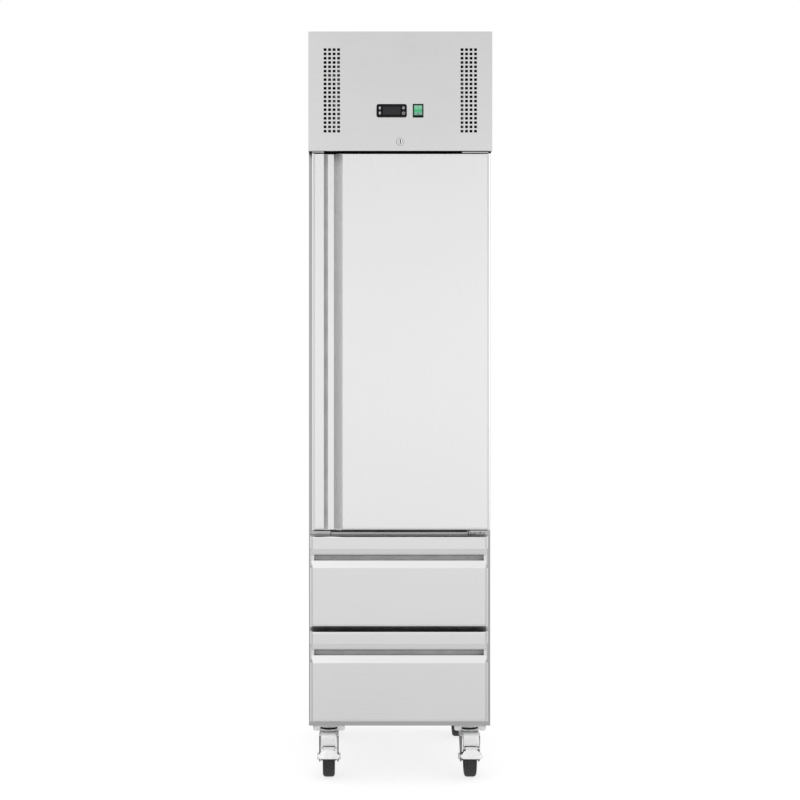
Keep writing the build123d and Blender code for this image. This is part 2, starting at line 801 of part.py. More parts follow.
def drawer_trough_section(top, inset):
    """Section, on the YZ plane, of the trough across a drawer's front, grown by inset.

    The lip curves back into it from above, and a slope leads out of it below.
    """
    with BuildSketch(Plane.YZ.offset(-half)) as trough:
        with BuildLine():
            Line((grip_mouth_y, top - lip_flat), (front_y, top - lip_flat))
            TangentArc((front_y, top - lip_flat), (drawer_ledge_y, top - lip_bottom), tangent=(0, -1))
            Polyline((drawer_ledge_y, top - lip_bottom), (drawer_ledge_y, top - drawer_slope_top),
                     (front_y, top - drawer_slope_end), (grip_mouth_y, top - drawer_slope_end),
                     (grip_mouth_y, top - lip_flat))
        make_face()
        if inset:
            offset(amount=inset, kind=Kind.INTERSECTION)
    return trough.sketch


def cut_drawer_channel(top, inset):
    """Cuts the channel that leads from the trough up behind the lip, grown by inset."""
    left = drawer_middle_x - drawer_grip_half - inset
    right = drawer_middle_x + drawer_grip_half + inset
    block((left, drawer_ledge_y - past, top - drawer_slope_top - inset),
          (right, drawer_grip_floor_y + inset, top - lip_bottom + inset), Mode.SUBTRACT)
    block((left, front_y + lip_thick - inset, top - drawer_slope_top - inset),
          (right, drawer_grip_floor_y + inset, top - lip_behind_top + inset), Mode.SUBTRACT)


def drawer_block(top, inset):
    """A drawer front's outer form, shrunk by inset except at its back."""
    bottom = top - drawer_height
    notch_x = front_half - drawer_end_inset - inset
    with BuildPart() as body:
        add(rounded_slab(plain_plan(drawer_middle_x, inset), bottom + inset, top - inset, inset))
        extrude(drawer_trough_section(top, inset), amount=width, mode=Mode.SUBTRACT)
        cut_drawer_channel(top, inset)
        for side in (-1, 1):
            low_x, high_x = sorted((drawer_middle_x + side * notch_x, side * half))
            block((low_x, front_y - past, top - drawer_slope_end - inset),
                  (high_x, drawer_grip_floor_y + inset, top - lip_flat + inset), Mode.SUBTRACT)
    return body.part


def front_skin(outer, inner):
    """Outer form less inner form, open at the back."""
    with BuildPart() as shell:
        add(outer)
        add(inner, mode=Mode.SUBTRACT)
    return shell.part


def front_core(inner):
    """Inner form less the thickness of the inner panel."""
    with BuildPart() as core:
        add(inner)
        block((-half, front_back_y - skin, 0), (half, front_back_y + past, height), Mode.SUBTRACT)
    return core.part


def seal_ring(middle_x, z0, z1):
    """A seal round the back of a front, with a groove along its face."""
    left = middle_x - gasket_half
    right = middle_x + gasket_half
    back = frame_y - gasket_gap
    groove = 4.0
    lip = 5.0
    with BuildPart() as seal:
        block((left, front_back_y, z0), (right, back, z1))
        block((left + gasket_wide, front_back_y - past, z0 + gasket_wide),
              (right - gasket_wide, back + past, z1 - gasket_wide), Mode.SUBTRACT)
        with BuildSketch(Plane.XZ.offset(-back + groove)):
            middle = (z0 + z1) / 2
            with Locations((middle_x, middle)):
                Rectangle(2 * (gasket_half - lip), z1 - z0 - 2 * lip)
                Rectangle(2 * (gasket_half - gasket_wide + lip), z1 - z0 - 2 * (gasket_wide - lip),
                          mode=Mode.SUBTRACT)
        extrude(amount=-2 * groove, mode=Mode.SUBTRACT)
    return seal.part


def inner_panel(middle_x, z0, z1, field):
    """Flat closing panel of a front. A field is pressed out of it towards the cold space."""
    rise = 6.0
    margin = 45.0
    field_half = 160.0
    field_y = front_back_y + rise
    with BuildPart() as panel:
        block((middle_x - front_half + skin, front_back_y - skin, z0 + skin),
              (middle_x + front_half - skin, front_back_y, z1 - skin))
        if field:
            block((-field_half, front_back_y - skin, z0 + margin), (field_half, field_y, z1 - margin))
            block((-field_half + skin, front_back_y - 2 * skin, z0 + margin + skin),
                  (field_half - skin, field_y - skin, z1 - margin - skin), Mode.SUBTRACT)
    return panel.part


def cut_door_pockets(piece):
    """A door piece with its bush seats cut out, and a slot as wide as the lock's cam sweeps."""
    slot_x = (-9.0, 30.5)
    slot_y = (lock_cam_y - 3.0, lock_cam_y + 6.0)
    slot_deep = 16.0
    with BuildPart() as cut:
        add(piece)
        rod((hinge_x, hinge_y, door_bottom - past), (hinge_x, hinge_y, door_bottom + bush_long),
            bush_r, Mode.SUBTRACT)
        rod((hinge_x, hinge_y, door_top - bush_long), (hinge_x, hinge_y, door_top + past),
            bush_r, Mode.SUBTRACT)
        block((slot_x[0], slot_y[0], door_top - slot_deep), (slot_x[1], slot_y[1], door_top + past),
              Mode.SUBTRACT)
    return cut.part


def make_door():
    """Pieces of the door, by node name."""
    outer = door_block(0.0)
    inner = door_block(skin)
    bore_r = pin_r + running_fit
    bore_long = bush_long - 1.5
    with BuildPart() as door_hinge_bushes:
        rod((hinge_x, hinge_y, door_bottom), (hinge_x, hinge_y, door_bottom + bush_long), bush_r)
        rod((hinge_x, hinge_y, door_top - bush_long), (hinge_x, hinge_y, door_top), bush_r)
        rod((hinge_x, hinge_y, door_bottom - past), (hinge_x, hinge_y, door_bottom + bore_long),
            bore_r, Mode.SUBTRACT)
        rod((hinge_x, hinge_y, door_top - bore_long), (hinge_x, hinge_y, door_top + past),
            bore_r, Mode.SUBTRACT)
    return {
        "door_outer_skin": cut_door_pockets(front_skin(outer, inner)),
        "door_foam_core": cut_door_pockets(front_core(inner)),
        "door_inner_panel": inner_panel(door_middle_x, door_bottom, door_top, True),
        "door_gasket": seal_ring(door_middle_x, door_bottom + gasket_inset, door_top - gasket_inset),
        "door_hinge_bushes": door_hinge_bushes.part,
    }


# Drawers

def rail_profile(rail_z, x_web, x_edge, half_tall):
    """A pair of channel section rails at one height, joined to the part being built."""
    web_low, web_high = sorted((x_web, x_web + math.copysign(rail_sheet, x_edge - x_web)))
    low_x, high_x = sorted((x_web, x_edge))
    low_z = rail_z - half_tall
    high_z = rail_z + half_tall
    for side in (-1, 1):
        web = sorted((side * web_low, side * web_high))
        flange = sorted((side * low_x, side * high_x))
        block((web[0], rail_front_y, low_z), (web[1], rail_back_y, high_z))
        block((flange[0], rail_front_y, high_z - rail_sheet), (flange[1], rail_back_y, high_z))
        block((flange[0], rail_front_y, low_z), (flange[1], rail_back_y, low_z + rail_sheet))


def rail_height(top):
    """Middle of the slides of the drawer whose front ends at top."""
    return top - box_drop + rail_rise


def make_drawer_slide_rails():
    """Fixed outer members of the four telescopic slides, on the walls of the liner."""
    with BuildPart() as drawer_slide_rails:
        for top in drawer_tops.values():
            rail_profile(rail_height(top), **fixed_rail)
    return drawer_slide_rails.part


def make_drawer(top):
    """Pieces of one drawer, by the end of their node names."""
    outer = drawer_block(top, 0.0)
    inner = drawer_block(top, skin)
    bottom = top - drawer_height
    box_z = top - box_drop
    with BuildPart() as box:
        block((-box_half, front_back_y, box_z), (box_half, box_back_y, box_z + box_tall))
        block((-box_half + liner_sheet, front_back_y + liner_sheet, box_z + liner_sheet),
              (box_half - liner_sheet, box_back_y - liner_sheet, box_z + box_tall + past), Mode.SUBTRACT)
    with BuildPart() as runners:
        rail_profile(rail_height(top), **runner_rail)
    with BuildPart() as middles:
        rail_profile(rail_height(top), **middle_rail)
    return {
        "front_skin": front_skin(outer, inner),
        "foam_core": front_core(inner),
        "inner_panel": inner_panel(drawer_middle_x, bottom, top, False),
        "gasket": seal_ring(drawer_middle_x, bottom + gasket_inset, top - gasket_inset),
        "box": box.part,
        "runners": runners.part,
        "slide_middles": middles.part,
    }


# Shelves

def make_shelf_pilasters():
    """Four slotted uprights on the liner, with a pair of clips under each shelf end."""
    low_z = 655.0
    high_z = 1385.0
    place_y = 225.0
    half_wide = 10.0
    deep = 6.0
    clip_half = 8.0
    clip_under = 6.0
    clip_tall = 5.0
    with BuildPart() as shelf_pilasters:
        for side in (-1, 1):
            upright = sorted((side * (cavity_half - deep), side * cavity_half))
            clip = sorted((side * (shelf_half - clip_under), side * (cavity_half - deep)))
            for y in (-place_y, place_y):
                block((upright[0], y - half_wide, low_z), (upright[1], y + half_wide, high_z))
                for z in shelf_levels:
                    clip_top = z - shelf_rod_r
                    block((clip[0], y - clip_half, clip_top - clip_tall), (clip[1], y + clip_half, clip_top))
    return shelf_pilasters.part


def make_wire_shelves():
    """Four wire shelves, each a rod frame with cross rods under a row of thinner wires."""
    wires = 13
    wire_span = 2 * (shelf_half - shelf_rod_r) / (wires + 1)
    left = -shelf_half + shelf_rod_r
    right = shelf_half - shelf_rod_r
    front = shelf_front_y + shelf_rod_r
    back = shelf_back_y - shelf_rod_r
    long_y = shelf_back_y - shelf_front_y
    mid_y = (shelf_back_y + shelf_front_y) / 2
    cross = [front + (back - front) / 3 * n for n in range(4)]
    with BuildPart() as wire_shelves:
        for z in shelf_levels:
            with Locations((left, mid_y, z), (right, mid_y, z)):
                Box(2 * shelf_rod_r, long_y, 2 * shelf_rod_r)
            with Locations(*[(0, y, z) for y in cross]):
                Box(2 * shelf_half, 2 * shelf_rod_r, 2 * shelf_rod_r)
            with Locations(*[(left + wire_span * (n + 1), mid_y, z + shelf_wire_r) for n in range(wires)]):
                Box(2 * shelf_wire_r, back - front, 2 * shelf_wire_r)
    return wire_shelves.part


# Castors

castor_places = {
    "front_left": (-castor_x, -castor_y),
    "front_right": (castor_x, -castor_y),
    "rear_left": (-castor_x, castor_y),
    "rear_right": (castor_x, castor_y),
}
plate_z = base_z - 3.0
race_bottom = 117.0
race_r = 27.0
crown_z = 104.0
crown_thick = 4.0
swivel_gap = 0.5
king_pin_r = 8.0
pedal_y = -90.0
pedal_z = 82.0
pedal_pin_r = 2.5
pedal_ear_half = 18.3


def make_castor_plates():
    """Top plates with bolt heads, swivel races and down-turned front lips, one under each corner."""
    half_x = 39.5
    half_y = 47.5
    lip = 3.0
    lip_low = 116.0
    lip_notch = 21.0
    lip_corner = 6.0
    bolt_x = 30.0
    bolt_y = 37.0
    bolt_head_r = 7.0
    bolt_head = 5.0
    with BuildPart() as castor_plates:
        for x, y in castor_places.values():
            block((x - half_x, y - half_y, plate_z), (x + half_x, y + half_y, base_z))
            for side in (-1, 1):
                with BuildSketch(Plane.XZ.offset(half_y - y)) as tab:
                    with Locations((x + side * (half_x + lip_notch) / 2, (lip_low + plate_z) / 2)):
                        Rectangle(half_x - lip_notch, plate_z - lip_low)
                    fillet(tab.vertices().group_by(Axis.Y)[0], lip_corner)
                extrude(tab.sketch, amount=-lip)
            rod((x, y, race_bottom), (x, y, plate_z), race_r)
            rod((x, y, race_bottom - past), (x, y, plate_z - past), king_pin_r + running_fit, Mode.SUBTRACT)
            for dx in (-bolt_x, bolt_x):
                for dy in (-bolt_y, bolt_y):
                    rod((x + dx, y + dy, plate_z - bolt_head), (x + dx, y + dy, plate_z), bolt_head_r)
    return castor_plates.part


def make_fork(x, y, braked):
    """Swivel fork with its king pin and axle. A braked one carries a hood in front of the wheel."""
    leg_gap = 6.0
    leg_thick = 3.0
    leg_in = wheel_wide / 2 + leg_gap
    leg_out = leg_in + leg_thick
    axle_y = y - castor_trail
    nose_y = axle_y - 24.0
    tail_y = y + 22.0
    foot_half = 13.0
    foot_r = 13.5
    leg_top = crown_z + 1.0
    race_top = race_bottom - swivel_gap
    nut_r = 8.5
    nut = 5.0
    with BuildPart() as fork:
        block((x - leg_out, nose_y, crown_z), (x + leg_out, tail_y + 2.0, crown_z + crown_thick))
        rod((x, y, crown_z + crown_thick), (x, y, race_top), race_r - 2.0)
        rod((x, y, race_top), (x, y, plate_z - 2.0), king_pin_r)
        for side in (-1, 1):
            low_x, high_x = sorted((x + side * leg_in, x + side * leg_out))
            with BuildSketch(Plane.YZ.offset(low_x)):
                with BuildLine():
                    Polyline((tail_y, leg_top), (nose_y, leg_top), (nose_y, crown_z - 16.0),
                             (axle_y - foot_half, wheel_r), (axle_y + foot_half, wheel_r),
                             (tail_y, crown_z - 14.0), close=True)
                make_face()
                with Locations((axle_y, wheel_r)):
                    Circle(foot_r)
            extrude(amount=high_x - low_x)
        rod((x - leg_out, axle_y, wheel_r), (x + leg_out, axle_y, wheel_r), axle_r)
        for side in (-1, 1):
            rod((x + side * leg_out, axle_y, wheel_r), (x + side * (leg_out + nut), axle_y, wheel_r), nut_r)
        if braked:
            add_brake_hood(x, y)
    return fork.part


def add_brake_hood(x, y):
    """Bent plate from the crown down to the pedal's pivot, with an ear at each side of the pedal."""
    hood = 3.5
    shoulder_y = y - 78.0
    root_y = y - 57.0
    nose_y = y + pedal_y - 5.0
    nose_z = pedal_z + 6.0
    ear = 3.0
    ear_out = pedal_ear_half + 1.0
    ear_low = pedal_z - 5.0
    ear_back_y = y + pedal_y + 5.0
    with BuildSketch(Plane.YZ.offset(x - ear_out)) as side_view:
        with BuildLine():
            Polyline((root_y, crown_z + crown_thick), (shoulder_y, crown_z - 1.0), (nose_y, nose_z),
                     (nose_y + hood, nose_z), (shoulder_y + 2.0, crown_z - 5.0), (root_y, crown_z),
                     close=True)
        make_face()
    extrude(side_view.sketch, amount=2 * ear_out)
    for side in (-1, 1):
        low_x, high_x = sorted((x + side * (ear_out - ear), x + side * ear_out))
        with BuildSketch(Plane.YZ.offset(low_x)) as ear_view:
            with BuildLine():
                Polyline((nose_y, nose_z), (nose_y, ear_low), (ear_back_y, ear_low),
                         (shoulder_y + 2.0, crown_z - 5.0), (shoulder_y, crown_z - 1.0), close=True)
            make_face()
        extrude(ear_view.sketch, amount=high_x - low_x)
    rod((x - ear_out - past, y + pedal_y, pedal_z), (x + ear_out + past, y + pedal_y, pedal_z),
        pedal_pin_r + running_fit, Mode.SUBTRACT)


def make_brake_pedal(x, y):
    """Foot pedal that flares below its pivot in front of the wheel."""
    pivot_y = y + pedal_y
    lean_y = 14.0
    thick = 3.0
    neck_half = 14.5
    neck_z = pedal_z - 5.5
    flare_half = 29.0
    flare_z = 65.0
    foot_half = 21.0
    foot_z = 57.5
    barrel_r = 4.0
    with BuildPart() as brake_pedal:
        with BuildSketch(Plane.XZ.offset(-(pivot_y + 8.0))):
            with BuildLine():
                Polyline((x - neck_half, pedal_z), (x - neck_half, neck_z), (x - flare_half, flare_z),
                         (x - foot_half, foot_z), (x + foot_half, foot_z), (x + flare_half, flare_z),
                         (x + neck_half, neck_z), (x + neck_half, pedal_z), close=True)
            make_face()
        extrude(amount=50.0)
        with BuildSketch(Plane.YZ.offset(x - 2 * foot_half)):
            with BuildLine():
                Polyline((pivot_y - thick / 2, pedal_z), (pivot_y - thick / 2 - lean_y, foot_z),
                         (pivot_y + thick / 2 - lean_y, foot_z), (pivot_y + thick / 2, pedal_z), close=True)
            make_face()
        extrude(amount=4 * foot_half, mode=Mode.INTERSECT)
        rod((x - neck_half, pivot_y, pedal_z), (x + neck_half, pivot_y, pedal_z), barrel_r)
        rod((x - pedal_ear_half - past, pivot_y, pedal_z), (x + pedal_ear_half + past, pivot_y, pedal_z),
            pedal_pin_r)
    return brake_pedal.part


def make_wheel(x, y):
    """Castor wheel with a rounded tread and dished sides, bored for the axle."""
    axle_y = y - castor_trail
    half_wide = wheel_wide / 2
    shoulder = 6.0
    dish_r = 34.0
    dish = 5.0
    hub_r = 11.0
    hub_out = 5.0
    with BuildPart() as wheel:
        rod((x - half_wide, axle_y, wheel_r), (x + half_wide, axle_y, wheel_r), wheel_r)
        fillet(wheel.edges().filter_by(GeomType.CIRCLE), shoulder)
        for side in (-1, 1):
            rod((x + side * (half_wide - dish), axle_y, wheel_r), (x + side * wheel_wide, axle_y, wheel_r),
                dish_r, Mode.SUBTRACT)
            rod((x + side * (half_wide - dish - past), axle_y, wheel_r),
                (x + side * (half_wide + hub_out), axle_y, wheel_r), hub_r)
        rod((x - wheel_wide, axle_y, wheel_r), (x + wheel_wide, axle_y, wheel_r), axle_r + running_fit,
            Mode.SUBTRACT)
    return wheel.part


# All the pieces

pieces = {
    "outer_casing": make_outer_casing(),
    "inner_liner": make_inner_liner(),
    "foam_insulation": make_foam_insulation(),
    "breaker_frame": make_breaker_frame(),
    "mullions": make_mullions(),
    "header_fascia": make_header_fascia(),
    "machine_cover": make_machine_cover(),
    "panel_screws": make_panel_screws(),
    "power_inlet": make_power_inlet(),
    "compressor": make_compressor(),
    "condenser_coil": make_condenser_coil(),
    "evaporator_coil": make_evaporator_coil(),
    "evaporator_cover": make_evaporator_cover(),
    "fan_motors": make_fan_motors(),
    "refrigerant_pipes": make_refrigerant_pipes(),
    "condenser_fan_blade": make_fan_blade(
        0.0, condenser_fan_y + 8.0, condenser_fan_z,
        hub_r=18.0, tip_r=78.0, blades=5, hub_long=18.0, pitch_deg=24.0),
    "evaporator_fan_blade": make_fan_blade(
        0.0, evaporator_fan_y + 5.0, evaporator_fan_z,
        hub_r=12.0, tip_r=44.0, blades=5, hub_long=13.0, pitch_deg=24.0),
    "controller_body": make_controller_body(),
    "switch_bezel": make_switch_bezel(),
    "rocker": make_rocker(),
    "lock_housing": make_lock_housing(),
    "lock_barrel": make_lock_barrel(),
    "hinge_plates": make_hinge_plates(),
    "drawer_slide_rails": make_drawer_slide_rails(),
    "shelf_pilasters": make_shelf_pilasters(),
    "wire_shelves": make_wire_shelves(),
    "castor_plates": make_castor_plates(),
}
pieces.update(make_door())
for key_name, key_x, key_z in key_places():
    pieces[key_name] = make_key(key_x, key_z)
for drawer_name, drawer_top in drawer_tops.items():
    for ending, piece in make_drawer(drawer_top).items():
        pieces[f"{drawer_name}_{ending}"] = piece
for place, (castor_mid_x, castor_mid_y) in castor_places.items():
    front = place.startswith("front")
    pieces[f"{place}_fork"] = make_fork(castor_mid_x, castor_mid_y, front)
    pieces[f"{place}_wheel"] = make_wheel(castor_mid_x, castor_mid_y)
    if front:
        pieces[f"{place}_brake_pedal"] = make_brake_pedal(castor_mid_x, castor_mid_y)

for node, piece in pieces.items():
    save(piece, node)
print(len(pieces), "pieces written")
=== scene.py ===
import math

import bmesh
import bpy
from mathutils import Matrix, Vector


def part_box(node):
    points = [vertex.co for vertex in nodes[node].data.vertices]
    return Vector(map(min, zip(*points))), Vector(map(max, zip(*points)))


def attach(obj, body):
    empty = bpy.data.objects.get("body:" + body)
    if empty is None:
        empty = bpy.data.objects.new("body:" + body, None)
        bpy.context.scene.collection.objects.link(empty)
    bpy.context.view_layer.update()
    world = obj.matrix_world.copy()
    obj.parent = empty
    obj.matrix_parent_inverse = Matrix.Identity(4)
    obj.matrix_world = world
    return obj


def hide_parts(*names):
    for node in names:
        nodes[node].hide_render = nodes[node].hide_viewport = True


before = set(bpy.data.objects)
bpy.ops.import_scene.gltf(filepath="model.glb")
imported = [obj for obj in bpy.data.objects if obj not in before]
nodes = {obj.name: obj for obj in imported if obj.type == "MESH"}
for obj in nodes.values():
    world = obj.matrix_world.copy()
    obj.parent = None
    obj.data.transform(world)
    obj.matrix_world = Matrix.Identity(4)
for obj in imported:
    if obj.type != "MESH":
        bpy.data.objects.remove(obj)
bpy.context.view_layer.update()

# Sizes are millimetres here, and the frame's own are metres.
MM = 0.001


def node_box(node):
    """Lowest and highest corner of a CAD node, in millimetres."""
    return tuple(tuple(v / MM for v in corner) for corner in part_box(node))


# Camera

picture_side = 800
metres_per_pixel = 0.0024465
camera_away = 4
camera_x = -0.125
camera_z = 0.975
front_y = -0.346
middle_px = 400.3
horizon_px = 385
sensor = 36


def make_camera():
    """The photograph's view: level, a little left of the cabinet, with the cabinet kept in the middle."""
    data = bpy.data.cameras.new("camera")
    data.sensor_width = sensor
    data.lens = sensor * camera_away / (picture_side * metres_per_pixel)
    centre = picture_side / 2
    vanishing_px = middle_px + camera_x / metres_per_pixel
    data.shift_x = (centre - vanishing_px) / picture_side
    data.shift_y = (horizon_px - centre) / picture_side
    camera = bpy.data.objects.new("camera", data)
    camera.location = (camera_x, front_y - camera_away, camera_z)
    camera.rotation_euler = (math.radians(90), 0, 0)
    bpy.context.scene.collection.objects.link(camera)
    bpy.context.scene.camera = camera


# Shader nodes. Textures use object coordinates, which are metres from the cabinet's origin.

# Every material by its name, filled in by Shader.
materials = {}


def shade(colour, factor):
    return tuple(c * factor for c in colour)


class Tree:
    """The nodes of a material or of the world while they are being made."""

    def __init__(self, owner):
        owner.use_nodes = True
        self.tree = owner.node_tree

    def feed(self, socket, value):
        """Links a socket to an output, or gives it a value of its own."""
        if isinstance(value, bpy.types.NodeSocket):
            self.tree.links.new(value, socket)
        else:
            socket.default_value = value

    def node(self, kind, inputs=None, **settings):
        """A new node, of a kind named without the ShaderNode that all of them start with."""
        made = self.tree.nodes.new("ShaderNode" + kind)
        for key, value in settings.items():
            setattr(made, key, value)
        for socket, value in (inputs or {}).items():
            self.feed(made.inputs[socket], value)
        return made

    def ramp(self, value, stops):
        """A colour for each value, from (position, colour) pairs."""
        made = self.node("ValToRGB", {"Fac": value})
        elements = made.color_ramp.elements
        while len(elements) < len(stops):
            elements.new(0.5)
        for element, (position, colour) in zip(elements, stops):
            element.position = position
            element.color = (*colour, 1)
        return made.outputs["Color"]

    def range(self, value, low, high, from_low=0, from_high=1):
        """A value moved from one range to another, and held inside it."""
        made = self.node("MapRange", {"Value": value, "From Min": from_low, "From Max": from_high,
                                      "To Min": low, "To Max": high})
        return made.outputs["Result"]

    def math(self, operation, a, b=0):
        return self.node("Math", {0: a, 1: b}, operation=operation).outputs["Value"]

    def mix(self, share, a, b):
        """Colour a where share is 0, and b where it is 1."""
        made = self.node("Mix", {"Factor": share}, data_type="RGBA")
        for value, socket in zip((a, b), [s for s in made.inputs if s.type == "RGBA"]):
            self.feed(socket, (*value, 1) if isinstance(value, tuple) else value)
        return [s for s in made.outputs if s.type == "RGBA"][0]

    def dimmed(self, colour, level):
        """A colour times a level."""
        made = self.node("VectorMath", {0: colour, "Scale": level}, operation="SCALE")
        return made.outputs["Vector"]

    def axes(self, place):
        """The x, y and z of coordinates."""
        split = self.node("SeparateXYZ", {"Vector": place})
        return [split.outputs[axis] for axis in "XYZ"]


class Shader(Tree):
    """One material of the cabinet."""

    def __init__(self, name, colour, metallic=0, roughness=0.5):
        materials[name] = bpy.data.materials.new(name)
        super().__init__(materials[name])
        self.surface = self.tree.nodes["Principled BSDF"]
        self.set("Base Color", (*colour, 1))
        self.set("Metallic", metallic)
        self.set("Roughness", roughness)
        self.place = self.node("TexCoord").outputs["Object"]

    def set(self, socket, value):
        self.feed(self.surface.inputs[socket], value)

    def colour(self, value, colour, low, high, start=0.3, end=0.7):
        """The surface's colour, times a low level where a value is small and a high one where it is large."""
        self.set("Base Color", self.ramp(value, [(start, shade(colour, low)), (end, shade(colour, high))]))

    def rough(self, value, low, high, start=0.3, end=0.7):
        """The surface's roughness, from low where a value is small to high where it is large."""
        self.set("Roughness", self.range(value, low, high, start, end))

    def bump(self, height, strength, distance):
        """Relief, distance in metres."""
        made = self.node("Bump", {"Height": height, "Strength": strength, "Distance": distance})
        self.set("Normal", made.outputs["Normal"])

    def noise(self, scale, detail=3, roughness=0.5):
        """Noise from 0 to 1, with one scale or one for each axis."""
        scales = scale if isinstance(scale, (tuple, list)) else [scale] * 3
        mapping = self.node("Mapping", {"Vector": self.place, "Scale": scales})
        made = self.node("TexNoise", {"Vector": mapping.outputs["Vector"], "Scale": 1,
                                      "Detail": detail, "Roughness": roughness})
        return made.outputs["Fac"]

    def above(self, value, edge):
        """0 below an edge, in metres, and 1 above it."""
        softness = 0.0001
        return self.range(value, 0, 1, edge - softness, edge + softness)

    def crevice(self, distance, darkest):
        """Painted shade: 1 on open faces, falling to a darkest level deep in grooves narrower than a distance
        in metres.
        """
        made = self.node("AmbientOcclusion", {"Distance": distance}, samples=8)
        return self.range(made.outputs["AO"], darkest, 1, 0.12, 0.60)


# Colour of the painted shade on sheets that face the machine compartment.
painted_shade_inside = (0.012, 0.012, 0.013)


def brushed_steel(name, colour, grain_axis, inside=None, crevice_shade=True, level=None):
    """Satin stainless sheet: fine grain along one axis and faint clouds.

    inside(shader) may give a mask, 1 where the sheet faces a machine compartment, which is painted dark and
    matte as shade there.
    Unless switched off, painted shade darkens the sheet in narrow grooves. level(shader) may give a factor
    for its colour, such as painted shade.
    """
    roughness = 0.28
    shader = Shader(name, colour, metallic=1, roughness=roughness)
    axis = "xyz".index(grain_axis)
    fine = [1400] * 3
    fine[axis] = 14
    coarse = [260] * 3
    coarse[axis] = 5
    grain = shader.noise(fine, detail=4, roughness=0.65)
    streak = shader.noise(coarse)
    clouds = shader.noise((5, 5, 3), detail=4, roughness=0.6)
    both = shader.math("ADD", shader.math("MULTIPLY", grain, 0.5), shader.math("MULTIPLY", streak, 0.5))
    tone = shader.math("ADD", shader.math("MULTIPLY", both, 0.6), shader.math("MULTIPLY", clouds, 0.4))
    painted = shader.ramp(tone, [(0.3, shade(colour, 0.975)), (0.7, shade(colour, 1.02))])
    # Painted shade in narrow grooves.
    if crevice_shade:
        painted = shader.dimmed(painted, shader.crevice(0.034, 0.22))
    if level:
        painted = shader.dimmed(painted, level(shader))
    dulled = shader.range(tone, roughness - 0.03, roughness + 0.05, 0.3, 0.7)
    # Painted shade: dark, matte and not metallic where the sheet faces the machine compartment.
    if inside:
        mask = inside(shader)
        painted = shader.mix(mask, painted, painted_shade_inside)
        shader.set("Metallic", shader.range(mask, 1, 0))
        dulled = shader.math("MAXIMUM", dulled, shader.math("MULTIPLY", mask, 0.8))
    shader.set("Base Color", painted)
    shader.set("Roughness", dulled)
    shader.bump(both, 0.35, 0.00006)


# Metres inside a sheet's outer face where the painted shade of its inside starts.
sheet_skin = 0.0006


def inside_header(shader):
    """1 on the faces of the header and its cover that face the machine compartment, where painted shade makes
    them dark.
    """
    x, y, z = shader.axes(shader.place)
    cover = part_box("machine_cover")[1]
    down = shader.math("MULTIPLY", z, -1)
    ahead = shader.math("MULTIPLY", y, -1)
    outside = shader.above(down, -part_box("header_fascia")[0].z - sheet_skin)
    for away, face in ((shader.math("ABSOLUTE", x), cover.x), (z, cover.z), (y, cover.y), (ahead, -front_y)):
        outside = shader.math("MAXIMUM", outside, shader.above(away, face - sheet_skin))
    return shader.math("SUBTRACT", 1, outside)


def above_deck(shader):
    """1 on the top of the insulated body, which is the floor of the machine compartment and is painted dark
    as shade.
    """
    return shader.above(shader.axes(shader.place)[2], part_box("outer_casing")[1].z - sheet_skin)


def front_edge_painted_shade(shader):
    """Painted shade that darkens the folded front edges of the insulated body."""
    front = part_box("outer_casing")[0].y
    return shader.range(shader.axes(shader.place)[1], 0.70, 1, front + 0.0004, front + 0.0008)


def zinc_plate(name, colour, roughness=0.32, metallic=0.7):
    """Bright zinc on pressed steel: soft cloudy spots, slight orange peel and painted shade in narrow
    grooves.
    """
    shader = Shader(name, colour, metallic=metallic, roughness=roughness)
    spots = shader.noise(70)
    painted = shader.ramp(spots, [(0.3, shade(colour, 0.96)), (0.7, shade(colour, 1.01))])
    shader.set("Base Color", shader.dimmed(painted, shader.crevice(0.012, 0.12)))
    shader.rough(spots, roughness - 0.04, roughness + 0.06, 0.35, 0.65)
    shader.bump(shader.noise(900, detail=2), 0.1, 0.00005)


def polished_metal(name, colour, roughness=0.08):
    """Plated or drawn metal with hairline scratches."""
    shader = Shader(name, colour, metallic=1, roughness=roughness)
    hair = shader.noise((2600, 2600, 90), detail=2)
    shader.colour(hair, colour, 0.94, 1)
    shader.rough(hair, roughness, roughness + 0.12, 0.4, 0.8)
    shader.bump(hair, 0.12, 0.00003)


def moulded_plastic(name, colour, roughness=0.5, texture=1400, gloss=0.5):
    """Moulded plastic with a fine spark-eroded texture."""
    shader = Shader(name, colour, roughness=roughness)
    shader.set("Specular IOR Level", gloss)
    pits = shader.noise(texture, detail=2)
    shader.colour(shader.noise(22), colour, 0.9, 1.1)
    shader.rough(pits, roughness - 0.05, roughness + 0.1)
    shader.bump(pits, 0.3, 0.00008)


def switch_plastic(name):
    """Translucent green rocker with painted light and shade by height: pale at its top where light pools,
    deeper towards its bottom.
    """
    shader = Shader(name, (0.1, 0.6, 0.28), roughness=0.2)
    low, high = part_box("rocker")
    swirl = shader.noise(160, detail=2)
    height = shader.axes(shader.place)[2]
    wavy = shader.math("ADD", height, shader.math("MULTIPLY", shader.math("SUBTRACT", swirl, 0.5), 0.004))
    rise = shader.range(wavy, 0, 1, low.z, high.z)
    shader.set("Base Color", shader.ramp(rise, [
        (0, (0.008, 0.05, 0.025)), (0.10, (0.01, 0.10, 0.05)), (0.16, (0.20, 0.42, 0.32)),
        (0.33, (0.24, 0.48, 0.36)), (0.38, (0.06, 0.55, 0.22)), (0.60, (0.07, 0.56, 0.24)),
        (0.68, (0.24, 0.66, 0.42)), (0.98, (0.32, 0.72, 0.50)),
    ]))
    shader.rough(swirl, 0.16, 0.26, 0, 1)
    shader.bump(swirl, 0.05, 0.0002)
    shader.set("Coat Weight", 0.5)


def gloss_paint(name, colour, roughness=0.22):
    """Stoved paint with orange peel."""
    shader = Shader(name, colour, roughness=roughness)
    shader.set("Coat Weight", 0.5)
    peel = shader.noise(260, detail=2)
    shader.colour(peel, colour, 0.9, 1.08)
    shader.rough(peel, roughness - 0.04, roughness + 0.08)
    shader.bump(peel, 0.3, 0.0002)


